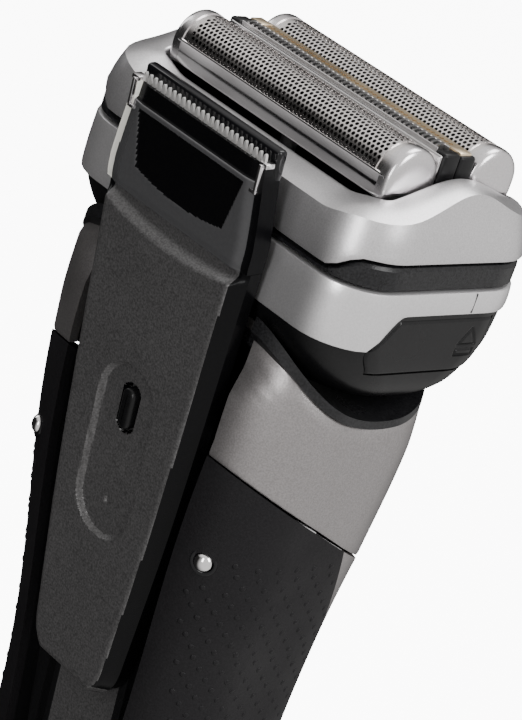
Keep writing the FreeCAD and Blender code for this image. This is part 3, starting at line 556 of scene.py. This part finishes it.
def key_piece(side):
    """Release button: a patch of the bowl's end with a sunk eject sign and rounded edges."""
    across, up = 130, 64
    rings_out, rings_in = [], []
    for row in range(up + 1):
        level = KEY_LOW + (KEY_HIGH - KEY_LOW) * row / up
        rear = key_rear(level)
        outer, inner = [], []
        for column in range(across + 1):
            y = KEY_FRONT + (rear - KEY_FRONT) * column / across
            edge = min(rear - y, y - KEY_FRONT, level - KEY_LOW, KEY_HIGH - level)
            proud = 0.10 - 0.28 * (1 - smooth(edge / 0.35))
            mark = min(near_line(y, level, a, b) for a, b in EJECT)
            proud -= 0.22 * (1 - smooth((mark - 0.10) / 0.14))
            outer.append((side * bowl_x(level, y, proud), y, level))
            inner.append((side * KEY_BACK, y, level))
        rings_out.append(outer)
        rings_in.append(inner)
    verts = [p for ring in rings_out for p in ring] + [p for ring in rings_in for p in ring]
    width, total = across + 1, (up + 1) * (across + 1)
    faces = []
    for row in range(up):
        for column in range(across):
            a = row * width + column
            faces.append((a, a + 1, a + width + 1, a + width))
            faces.append((total + a, total + a + width, total + a + width + 1, total + a + 1))
    rim = grid_rim(up, across)
    for a, b in zip(rim, rim[1:] + rim[:1]):
        faces.append((a, b, total + b, total + a))
    name = "right" if side > 0 else "left"
    item = make(f"release_key_{name}", verts, faces, f"release_{name}", "black_plastic", angle=50)
    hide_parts(f"release_button_{name}")


# --------------------------------------------------------------- foils and combs
FOIL_R, FOIL_Z, FOIL_END = 4.3, 158.7, 20.95
FOIL_MARGIN = 1.3
SHEET_THICK = 0.13
HOLE_PITCH, HOLE_RADIUS = 0.76, 0.285
BLADE_R, BLADE_HALF, BLADE_COUNT = 3.75, 0.16, 46
PIN_ROOM = 157.6
BLOCK_END = (20.3, 22.45)
COMB_COUNT, GOLD_TEETH = 44, 44
CENTRES = {"rear": 5.85, "front": -9.55}


def foil_sheet(side):
    """Curved sheet with rows of round holes, hexagon packed."""
    middle = CENTRES[side]
    first = math.radians(4.0)
    span = FOIL_R * (math.pi - 2 * first)
    rows = int(span / (HOLE_PITCH * math.sqrt(3) / 2))
    row_gap = span / rows
    reach = FOIL_END - FOIL_MARGIN
    count = int(2 * reach / HOLE_PITCH)
    pitch = 2 * reach / count
    verts, faces = [], []

    def around(u, v):
        """A point of the curved sheet: u along X, v along the curve."""
        angle = first + v / FOIL_R
        return (u, middle + FOIL_R * math.cos(angle), FOIL_Z + FOIL_R * math.sin(angle))

    def wrap(u, v):
        return around(min(reach, max(-reach, u)), min(span, max(0.0, v)))

    for row in range(rows):
        shift = 0.5 * (row % 2)
        for column in range(count + (1 if shift else 0)):
            u = -reach + (column + 0.5 - shift) * pitch
            v = (row + 0.5) * row_gap
            open_here = abs(u) < reach - 0.4 * pitch
            size = HOLE_RADIUS * (0.72 if row in (0, rows - 1) else 1.0)
            start = len(verts)
            for k in range(12):
                angle = math.radians(30 * k + 30)
                swell = 1.0 if k % 2 == 0 else math.cos(math.radians(30))
                radius_u, radius_v = pitch / math.sqrt(3) * swell, row_gap / 1.5 * swell
                verts.append(wrap(u + radius_u * math.cos(angle), v + radius_v * math.sin(angle)))
            if open_here:
                for k in range(12):
                    angle = math.radians(30 * k + 30)
                    verts.append(wrap(u + size * math.cos(angle), v + size * math.sin(angle)))
                for k in range(12):
                    after = (k + 1) % 12
                    faces.append((start + k, start + after, start + 12 + after, start + 12 + k))
            else:
                faces.append(tuple(range(start, start + 12)))
    for end in (-1, 1):
        for step in range(24):
            start = len(verts)
            for u, share in ((reach, step / 24), (FOIL_END, step / 24), (FOIL_END, (step + 1) / 24),
                             (reach, (step + 1) / 24)):
                verts.append(around(end * u, share * span))
            faces.append(tuple(range(start, start + 4)))
    item = make(f"foil_sheet_{side}", verts, faces, f"{side}_foil_unit", "steel", "foil", 60)
    change = item.modifiers.new("thick", "SOLIDIFY")
    change.thickness = SHEET_THICK * MM
    change.offset = -1
    apply_all(item)
    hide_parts(f"foil_{side}")


def skirt_piece(side):
    """Chrome skirt of a foil, with a bead where the sheet is held."""
    middle = CENTRES[side]
    rows = ((0.6, 155.9), (0.05, 155.9), (-0.02, 156.1), (0.0, 157.5), (-0.02, 158.7), (-0.12, 158.85),
            (-0.16, 159.0), (-0.1, 159.16), (0.05, 159.25), (0.5, 159.25))
    rings = [[(x, y, z) for x, y in outline(22.1 - inset, FOIL_R + 0.05 - inset, 0.9 - inset, middle,
                                            24, 8, 5)] for inset, z in rows]
    item = make(f"skirt_{side}", *skin(rings, closed=True), f"{side}_foil_unit", "chrome", angle=35)
    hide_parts(f"foil_frame_{side}")


def cap_pieces(side):
    """D-shaped end covers of a foil, round at the top and rounded over at the face."""
    middle = CENTRES[side]
    loop = [(math.cos(math.pi * k / 32), math.sin(math.pi * k / 32)) for k in range(33)]
    parts = []
    for end in (-1, 1):
        rings = []
        for reach, shrink in ((20.7, 0.0), (21.6, -0.02), (22.1, 0.05), (22.4, 0.2), (22.62, 0.5), (22.75, 1.0),
                              (22.85, 2.0), (22.88, 3.2)):
            radius = FOIL_R + 0.16 - shrink
            ring = [(end * reach, middle + radius * c, FOIL_Z + radius * s) for c, s in loop]
            corner, foot = 157.3 + shrink * 0.2, min(155.9 + max(0.0, shrink) * 1.9, 157.2)
            ring += [(end * reach, middle + radius * across, level)
                     for across, level in ((-1, corner), (-0.97, foot), (0, foot), (0.97, foot), (1, corner))]
            rings.append(ring)
        parts.append(skin(rings))
    item = make(f"foil_ends_{side}", *merged(parts), f"{side}_foil_unit", "chrome", "satin_chrome", 38)
    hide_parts(f"foil_caps_{side}")


def cutter_piece(side):
    """Pack of thin curved blades on a carrier, under the foil."""
    middle = CENTRES[side]
    parts = [rounded_box((-19.4, middle - 2.3, 154.95), (-1.5, middle + 2.3, 156.4), 0.3, 2),
             rounded_box((1.5, middle - 2.3, 154.95), (19.4, middle + 2.3, 156.4), 0.3, 2),
             rounded_box((-2.4, middle - 2.6, PIN_ROOM), (2.4, middle + 2.6, PIN_ROOM + 1.0), 0.2, 2)]
    bow = [(BLADE_R * math.cos(math.pi * k / 18), BLADE_R * math.sin(math.pi * k / 18)) for k in range(19)]
    for index in range(BLADE_COUNT):
        x = -19.2 + 38.4 * index / (BLADE_COUNT - 1)
        foot = PIN_ROOM - FOIL_Z if abs(x) < 1.7 else -2.4
        loop = bow + [(-2.6, foot), (2.6, foot)]
        parts.append(skin([[(face, middle + a, FOIL_Z + b) for a, b in loop]
                           for face in (x - BLADE_HALF, x + BLADE_HALF)]))
    item = make(f"blade_pack_{side}", *merged(parts), f"{side}_cutter", "steel", "dark_steel", 30)
    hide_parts(f"cutter_{side}")


def comb_pieces():
    """Guard bar and slanted comb behind the gold trimmer."""
    bar = make("guard_rail", *rounded_box((-21.9, 0.60, 158.2), (21.9, 1.20, 162.0), 0.26, 4), "comb_unit",
               "chrome", "steel", 40)
    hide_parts("guard_bar")
    blocks = [rounded_box((-22.0, -1.75, 155.0), (22.0, 0.5, 160.9), 0.3, 2)]
    for low, high in both_ends(*BLOCK_END):
        blocks.append(rounded_box((low, -2.1, 155.2), (high, 0.95, 162.4), 0.45, 3))
    item = make("comb_block", *merged(blocks), "comb_unit", "black_plastic", angle=40)
    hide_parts("comb_carrier")
    lamellae = []
    near, far, half, slant = 0.45, -1.65, 0.22, 0.62
    for index in range(COMB_COUNT):
        x = -19.8 + 39.0 * index / (COMB_COUNT - 1)
        loop = [(x - half, near), (x + half, near), (x + half + slant, far), (x - half + slant, far)]
        lamellae.append(skin([[(a, b, 160.7) for a, b in loop], [(a, b, 162.65) for a, b in loop],
                              [(a, b * 0.98, 162.75) for a, b in loop]]))
    lamellae.append(rounded_box((-20.3, -1.8, 160.0), (20.3, -1.55, 162.65), 0.08, 1))
    lamellae.append(rounded_box((-20.3, 0.38, 160.0), (20.3, 0.58, 162.55), 0.08, 1))
    item = make("comb_teeth", *merged(lamellae), "comb_unit", "steel", angle=30)
    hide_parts("comb_lamellae")


def gold_pieces():
    """Carrier and serrated gold trimmer: two toothed strips and an end plate each side."""
    blocks = [rounded_box((-22.0, -4.85, 155.0), (22.0, -2.2, 160.5), 0.3, 2)]
    for low, high in both_ends(*BLOCK_END):
        blocks.append(rounded_box((low, -5.2, 155.2), (high, -2.25, 162.1), 0.45, 3))
    item = make("gold_block", *merged(blocks), "gold_unit", "black_plastic", angle=40)
    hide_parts("gold_carrier")
    strips = []
    wide = 39.6 / GOLD_TEETH
    for outer, inner, away in ((-2.2, -3.15, -0.35), (-4.85, -3.95, 0.35)):
        line = []
        for index in range(GOLD_TEETH):
            x = -19.8 + 39.6 * index / GOLD_TEETH
            line += [(x, inner), (x + wide * 0.35, inner), (x + wide * 0.5, inner + away),
                     (x + wide * 0.85, inner + away)]
        loop = [(-20.6, outer), (-20.6, inner)] + line + [(20.6, inner), (20.6, outer)]
        strips.append(skin([[(a, b, 160.4) for a, b in loop], [(a, b, 162.15) for a, b in loop],
                            [(a, b * 0.997 + (outer + inner) / 2 * 0.003, 162.3) for a, b in loop]]))
    for low, high in both_ends(19.3, 21.9):
        strips.append(rounded_box((low, -4.6, 161.5), (high, -2.4, 162.45), 0.2, 2))
    item = make("gold_blades", *merged(strips), "gold_unit", "pale_gold", angle=30)
    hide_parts("gold_trimmer")


# ------------------------------------------------------------------ the trimmer
LEAN = math.radians(6.1)
FOOT = (13.8, 70.0)
SLIDE_BACK, SLIDE_TOP, COVER_TOP = -2.55, 72.0, 87.0
FLANK, RIDGE = 1.7, 1.45
THUMB_LEVEL = 44.0
RECESS = (5.7, 13.2, 5.6, 37.3)
WELL = (1.75, 3.65, 1.7, THUMB_LEVEL)
DOT_LEVEL, DOT_RADIUS = 29.3, 0.42
TOOTH_PITCH = 1.0


def leaned(x, out, along):
    """A point of the slide's own frame, in the object's frame."""
    return (x, FOOT[0] + along * math.sin(LEAN) + out * math.cos(LEAN),
            FOOT[1] + along * math.cos(LEAN) - out * math.sin(LEAN))


SLIDE_ROWS = [(0.0, 3.4), (0.35, 4.9), (1.1, 6.5), (2.4, 8.0), (4.4, 9.1), (8.0, 9.7), (32.0, 12.3),
              (72.0, 15.0), (76.0, 15.1), (87.0, 13.6)]


def slide_half(along):
    """Half the slide's width at a height along it."""
    return at_level(SLIDE_ROWS, along)[0]


def pill(x, along, half_x, half_z, turn, middle):
    """Signed distance outside a rounded rectangle on the slide's face."""
    dx = abs(x) - (half_x - turn)
    dz = abs(along - middle) - (half_z - turn)
    return math.hypot(max(dx, 0.0), max(dz, 0.0)) + min(max(dx, dz), 0.0) - turn


def slide_face(x, along):
    """How far the slide's face stands out of its plane."""
    edge = min(slide_half(along) - abs(x), along)
    ridge = 1 - smooth((along - 68.2 - 1.9 * (x / 15) ** 2) / 1.6)
    flank = min(1.0, max(0.0, edge / FLANK))
    face = -0.6 + (0.6 + RIDGE * ridge) * flank - 0.12 * max(0.0, 1 - abs(edge - FLANK) / 0.5)
    face -= 0.85 * (1 - smooth((pill(x, along, *RECESS) + 0.35) / 0.55))
    face -= 1.2 * (1 - smooth((pill(x, along, *WELL) + 0.1) / 0.22))
    face -= 0.25 * (1 - smooth((math.hypot(x, along - DOT_LEVEL) - DOT_RADIUS) / 0.16))
    return face


def slide_grid(rows, columns, low, high, face):
    """Front face from a height function, side walls and a flat back, in the slide's frame."""
    width = columns + 1
    verts, faces = [], []
    for row in range(rows + 1):
        along = low + (high - low) * row / rows
        half = slide_half(along)
        for column in range(width):
            share = 2 * column / columns - 1
            x = half * math.copysign(1 - (1 - abs(share)) ** 1.25, share)
            verts.append(leaned(x, face(x, along), along))
    total = len(verts)
    for row in range(rows):
        for column in range(columns):
            a = row * width + column
            faces.append((a, a + 1, a + width + 1, a + width))
    rim = grid_rim(rows, columns)
    for index in rim:
        row, column = divmod(index, width)
        along = low + (high - low) * row / rows
        verts.append(leaned(slide_half(along) * (2 * column / columns - 1), SLIDE_BACK, along))
    for k in range(len(rim)):
        after = (k + 1) % len(rim)
        faces.append((rim[k], total + k, total + after, rim[after]))
    faces.append(tuple(total + k for k in range(len(rim))))
    return verts, faces


def darken(item, chosen, look_name="black_and_painted_shade"):
    """Give the faces that a test of (x, along, how far they face out) picks another colour, here painted shade,
    a painted highlight and the cover's black window.
    """
    item.data.materials.append(LOOKS[look_name])
    place = len(item.data.materials) - 1
    for face in item.data.polygons:
        point = face.center / MM
        along = (point.z - FOOT[1]) * math.cos(LEAN) + (point.y - FOOT[0]) * math.sin(LEAN)
        facing = face.normal.y * math.cos(LEAN) - face.normal.z * math.sin(LEAN)
        if chosen(point.x, along, facing):
            face.material_index = place


def slide_piece():
    """Long slide with painted shade on its flanks and on the faces turned away from its front, and the thumb
    button in its well.
    """
    item = make("slide_skin", *slide_grid(330, 120, 0.0, SLIDE_TOP, slide_face), "trimmer", "charcoal",
                angle=25)
    # Painted shade: the sloped flanks and the faces turned away from the front are made near-black.
    darken(item, lambda x, along, up: slide_half(along) - abs(x) < FLANK - 0.05 and along > 2.5 or up < 0.4)
    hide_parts("trimmer_slide")
    rings = []
    for inset, out in ((0.0, -3.4), (0.0, 0.75), (0.08, 1.05), (0.28, 1.25), (0.6, 1.36), (0.95, 1.4)):
        plan = outline(1.3 - inset, 3.1 - inset, 1.25 - inset * 0.9, 0.0, 6, 8, 6)
        rings.append([leaned(x, out, THUMB_LEVEL + y) for x, y in plan])
    item = make("thumb_key", *skin(rings), "trimmer_thumb", "black_plastic", angle=40)
    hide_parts("trimmer_button")


def cover_window(x, along):
    """Distance outside the cover's flat black window, whose lower edge is bowed."""
    sides = abs(x) - (8.6 + 0.24 * (along - 74.0))
    bottom = 75.2 - 1.4 * math.cos(min(1.0, abs(x) / 11.0) * math.pi / 2) + 1.3 - along
    top = along - 83.6
    return max(sides, bottom, top)


def cover_face(x, along):
    """How far the cover's face stands out: a soft dome with a flat window and a step at the top."""
    edge = slide_half(along) - abs(x)
    face = 0.15 + 0.65 * smooth(edge / 3.4) + 0.12 * smooth((along - 72.0) / 1.2)
    face -= 0.16 * (1 - smooth((cover_window(x, along) + 0.1) / 0.3))
    face -= 0.5 * smooth((along - 84.2) / 0.5) * (1 - smooth((abs(x) - 12.6) / 0.4))
    return face


def leaned_part(part):
    """Vertices and faces made in the slide's own frame, turned into the object's frame."""
    verts, faces = part
    return [leaned(*vert) for vert in verts], faces


def cover_pieces():
    """Smoked cover with a flat black window, painted shade on its top step, its turned faces and one edge, and
    a painted highlight along its other, clear edge; the block behind it and the two wire clips.
    """
    item = make("cover_skin", *slide_grid(110, 120, SLIDE_TOP + 0.06, COVER_TOP, cover_face), "trimmer",
                "black_gloss", "smoke", 40)
    # The window is made black; painted shade on the top step, the faces turned away and one edge.
    darken(item, lambda x, along, up: cover_window(x, along) < 0.1 or along > 84.4 or up < 0.4
           or x < -slide_half(along) + 1.2)
    # Painted highlight: a pale strip along the other edge, for the light in its clear edge.
    darken(item, lambda x, along, up: x > slide_half(along) - 1.3 and up > -0.5, "clear_edge_painted_highlight")
    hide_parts("trimmer_cover")
    block = leaned_part(rounded_box((-13.9, -3.0, 84.0), (13.9, -1.3, 89.0), 0.5, 3))
    make("cover_back", *block, "trimmer", "black_gloss", angle=40)
    clips = []
    for side in (-1, 1):
        for low, high in (((13.0, 0.1, 83.3), (13.5, 0.95, 87.2)), ((12.2, 0.1, 83.0), (13.5, 0.9, 83.5)),
                          ((12.7, -0.9, 86.8), (14.1, 0.6, 87.5))):
            near, far = sorted((side * low[0], side * high[0]))
            clips.append(leaned_part(rounded_box((near, *low[1:]), (far, *high[1:]), 0.12, 2)))
    item = make("cover_clips", *merged(clips), "trimmer", "chrome", "satin_chrome", 40)
    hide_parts("trimmer_clips")


def teeth_piece(name, body, node, half, low, top, depth, out):
    """A comb of trimmer teeth between two distances out of the slide's plane."""
    loop = [(-half, low)]
    for index in range(int(round(2 * half / TOOTH_PITCH))):
        x = -half + index * TOOTH_PITCH
        loop += [(x, top - depth), (x + 0.14, top - 0.25), (x + 0.24, top), (x + 0.42, top),
                 (x + 0.52, top - 0.25), (x + 0.66, top - depth)]
    loop += [(half, top - depth), (half, low)]
    rings = [[leaned(x, face, along) for x, along in loop] for face in out]
    piece = make(name, *skin(rings), body, "steel", "tooth_steel", 20)
    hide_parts(node)


# --------------------------------------------------------------------- handle
HANDLE_ROWS = [(8.0, 19.4, 16.2, 9.4, 10.5), (40.0, 20.2, 16.6, 11.5, 11.0),
               (75.0, 21.3, 16.0, 13.9, 11.0), (100.0, 24.8, 14.8, 17.3, 11.5),
               (119.0, 26.8, 14.6, 18.4, 11.5), (128.0, 26.8, 13.6, 18.4, 11.2),
               (140.0, 26.5, 12.8, 18.0, 11.0)]


SEAM_MIDDLE, SEAM_SLOPE = 105.75, 0.516
COLLAR_MIDDLE, COLLAR_RADIUS = 146.2, 22.0
STUD_X, STUD_Y, STUD_LEVEL = 19.0, 15.8, 100.4
POWER_LEVEL = 78.0


def handle_outline(level, grow=0.0):
    """The handle's outline at a level, made larger or smaller all round."""
    half, front, rear, turn = at_level(HANDLE_ROWS, level)
    return outline(half + grow, (front + rear) / 2 + grow, turn + grow, (rear - front) / 2)


def seam(y):
    """Level of the slanting seam between rubber and metal."""
    return SEAM_MIDDLE + SEAM_SLOPE * y


def grip_bumps(node, side):
    """Rows of small domes set on the rubber, in a diamond lattice."""
    source = frame["nodes"][node]
    tree = BVHTree.FromPolygons([vert.co.copy() for vert in source.data.vertices],
                                [tuple(face.vertices) for face in source.data.polygons])
    parts = []
    step = 3.3
    for row in range(54):
        level = 14.0 + row * step / 2
        plan = [Vector((x, y)) for x, y in handle_outline(level) if x * side > 4.0]
        plan.sort(key=lambda spot: math.atan2(spot.y, spot.x * side))
        walked, wanted = 0.0, (step / 2 if row % 2 else 0.0)
        for before, after in zip(plan, plan[1:]):
            length = (after - before).length
            while walked + length >= wanted:
                spot = before.lerp(after, (wanted - walked) / length)
                wanted += step
                if spot.y < -9.6 or level > seam(spot.y) - 2.0 or abs(spot.x) < 17.2 or (
                        math.hypot(spot.x - side * STUD_X, level - STUD_LEVEL) < 3.2):
                    continue
                away = Vector((spot.x * 0.6, spot.y - 1.0, 0)).normalized()
                start = Vector((spot.x, spot.y, level)) + away * 20
                hit, normal, _, _ = tree.ray_cast(start * MM, -away)
                if hit is None or normal.dot(away) < 0.5 or (hit / MM - start).length > 23:
                    continue
                centre = hit / MM
                aside = normal.cross(Vector((0, 0, 1))).normalized()
                up = normal.cross(aside)
                rings = []
                for radius, height in ((0.5, -0.1), (0.48, 0.0), (0.34, 0.09), (0.15, 0.13)):
                    rings.append([tuple(centre + normal * height + aside * radius * math.cos(k * math.pi / 4)
                                        + up * radius * math.sin(k * math.pi / 4)) for k in range(8)])
                parts.append(skin(rings))
            walked += length
    make(f"grip_bumps_{'right' if side > 0 else 'left'}", *merged(parts), "handle", "rubber", angle=60)


def turned(axis_point, axis, rows, around=24):
    """A turned shape: rows of (radius, distance along the axis)."""
    axis = Vector(axis).normalized()
    aside = axis.orthogonal().normalized()
    other = axis.cross(aside)
    turns = [2 * math.pi * k / around for k in range(around)]
    rings = []
    for radius, reach in rows:
        middle = Vector(axis_point) + axis * reach
        rings.append([tuple(middle + (aside * math.cos(turn) + other * math.sin(turn)) * radius)
                      for turn in turns])
    return skin(rings)


def shoulder_top(y):
    """Level of the black collar's lower edge at a depth."""
    return COLLAR_MIDDLE - math.sqrt(COLLAR_RADIUS ** 2 - y * y)


def shoulder_piece():
    """Metal shoulder from the rubber's seam up to the collar, its upper part leaning inwards."""
    base = handle_outline(125.0)
    rings = []
    for inset, shares in ((0.0, [k / 40 for k in range(41)]), (1.5, [k / 8 for k in range(8, -1, -1)])):
        for share in shares:
            ring = []
            for index, (x, y) in enumerate(base):
                low, high = seam(y) + 0.08, shoulder_top(y) - 0.06
                level = low + (high - low) * share
                crease = min(shoulder_top(y) - 1.8, 124.6 + 0.6 * (abs(x) - 15.6))
                lean = min(1.0, 0.25 * max(0.0, level - crease)) * smooth((y + 4) / 8)
                edge = 0.12 * (1 - smooth(share / 0.015)) + 0.12 * smooth((share - 0.985) / 0.015)
                spot = handle_outline(level, -inset - lean - (edge if not inset else 0))[index]
                ring.append((*spot, level))
            rings.append(ring)
    item = make("shoulder_skin", *skin(rings, closed=True), "handle", "gunmetal", angle=28)
    plan = [(-10.1, -25.0), (10.1, -25.0), (15.9, 48.0), (15.9, 82.0), (-15.9, 82.0), (-15.9, 48.0)]
    channel = skin([[leaned(x, out, along) for x, along in plan] for out in (-4.65, 12.0)])
    lock_bay = rounded_box((-5, -30, 115.5), (5, -13.2, 124.5), 0.4, 2)
    carved(item, channel, lock_bay)
    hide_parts("shoulder_cover")


def painted_grip_edges():
    """Painted highlight: a thin strip along the top of the rubber grips, rubber given the pale silver look for
    the light it catches.
    """
    parts = []
    for side in (-1, 1):
        plan = [spot for spot in handle_outline(104.0) if spot[0] * side > 0]
        plan.sort(key=lambda spot: math.atan2(spot[1], spot[0] * side))
        rings = []
        for x, y in plan:
            if y < -3.4 or abs(x) < 16.3:
                continue
            level = seam(y)
            nearest = min(handle_outline(level), key=lambda spot: math.hypot(spot[0] - x, spot[1] - y))
            away = Vector((nearest[0], nearest[1] * 1.1)).normalized()
            out = [nearest[0] + away.x * 0.05, nearest[1] + away.y * 0.05]
            back = [nearest[0] - away.x * 0.6, nearest[1] - away.y * 0.6]
            high, low = level + 0.05, level - 0.17
            rings.append([(*out, high), (*out, low), (*back, low), (*back, high)])
        parts.append(skin(rings))
    # Painted highlight: a strip of rubber given the pale silver look for the light along the grip's top edge.
    make("grip_edge_highlight", *merged(parts), "handle", "rubber", "ring_silver", 40)


def front_pieces():
    """Dished power button with a plain mark, and the lock slider with grip ribs."""
    dish = ((6.75, 0.0), (6.75, 2.55), (6.66, 2.8), (6.4, 2.95), (6.0, 2.98), (5.4, 2.88), (4.0, 2.72),
            (2.0, 2.62), (0.2, 2.6))
    item = make("power_key_skin", *turned((0, -13.8, POWER_LEVEL), (0, -1, 0), dish, 64), "power_key", "silver",
                angle=24)
    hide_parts("power_button")
    mark = [rounded_box((-0.22, -16.62, POWER_LEVEL + 0.4), (0.22, -16.38, POWER_LEVEL + 2.3), 0.08, 1)]
    rings = []
    for step in range(25):
        angle = math.radians(125 + 290 * step / 24)
        rings.append([(radius * math.cos(angle), y, POWER_LEVEL + radius * math.sin(angle))
                      for radius, y in ((1.55, -16.62), (1.95, -16.62), (1.95, -16.38), (1.55, -16.38))])
    mark.append(skin(rings))
    make("power_mark", *merged(mark), "power_key", "black_plastic", "dark_line", 40)
    parts = [rounded_box((-4.0, -15.35, 116.0), (4.0, -13.2, 120.5), 0.45, 3)]
    for row in range(4):
        parts.append(rounded_box((-2.9, -15.6, 116.75 + 0.9 * row), (2.9, -15.2, 117.2 + 0.9 * row), 0.14, 2))
    item = make("lock_key", *merged(parts), "lock_slider", "black_plastic", angle=40)
    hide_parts("lock_switch")


def contact_pieces():
    """Charging studs in dark rims beside the slide, and the flat floor of the slide's channel."""
    dome = ((1.35, -3.0), (1.35, 0.1), (1.25, 0.42), (0.95, 0.72), (0.5, 0.9), (0.2, 0.94))
    rim = ((2.0, -1.5), (2.0, 0.04), (1.85, 0.12), (1.5, 0.02), (1.45, -1.5))
    studs, rims = [], []
    for side in (-1, 1):
        spot, away = (side * STUD_X, STUD_Y, STUD_LEVEL), (side * 0.496, 0.868, 0.0)
        studs.append(turned(spot, away, dome))
        rims.append(turned(spot, away, rim))
    item = make("contact_studs", *merged(studs), "handle", "chrome", angle=50)
    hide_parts("contact_pins")
    make("contact_rims", *merged(rims), "handle", "black_plastic", "black_gloss", 50)
    plate = leaned_part(rounded_box((-6.4, -4.62, -24.0), (6.4, -4.36, 3.0), 0.1, 1))
    make("channel_plate", *plate, "handle", "charcoal", angle=40)


# ------------------------------------------------------------------- all pieces
shell_piece()
band_piece()
ring_piece()
bowl_piece()
key_piece(-1)
key_piece(1)
for foil_side in ("rear", "front"):
    foil_sheet(foil_side)
    skirt_piece(foil_side)
    cap_pieces(foil_side)
    cutter_piece(foil_side)
comb_pieces()
gold_pieces()
slide_piece()
cover_pieces()
teeth_piece("fixed_teeth", "trimmer", "trimmer_fixed_blade", 13.0, 83.6, 88.3, 1.3, (-0.5, -0.08))
teeth_piece("moving_teeth", "trimmer_blade", "trimmer_moving_blade", 11.5, 84.2, 87.8, 1.1, (-1.0, -0.6))
front_pieces()
shoulder_piece()
painted_grip_edges()
grip_bumps("grip_left", -1)
grip_bumps("grip_right", 1)
contact_pieces()

LOOK_OF = {"neck_collar": "black_sparkle", "front_shell": "gunmetal", "power_button": "silver"}
for node, slot in SLOT_OF.items():
    item = frame["nodes"][node]
    item.data.materials.clear()
    item.data.materials.append(LOOKS[LOOK_OF.get(node, slot)])


# ----------------------------------------------------------------------- floor
def white_floor(half=9.0, glow=9.0):
    """A glowing white floor that neither lights the object nor shows in it."""
    floor = added("floor", bpy.data.meshes.new("floor"))
    floor.data.from_pydata([(-half, -half, 0), (half, -half, 0), (half, half, 0), (-half, half, 0)], [],
                           [(0, 1, 2, 3)])
    white = material("floor_paper", (0.93, 0.93, 0.93), 0.8, 0.0, 0.02, 0.8, 0.01, 0.02)
    shader = white.node_tree.nodes["Principled BSDF"]
    shader.inputs["Emission Color"].default_value = (1, 1, 1, 1)
    shader.inputs["Emission Strength"].default_value = glow
    floor.data.materials.append(white)
    floor.visible_diffuse = False
    floor.visible_glossy = False


white_floor()
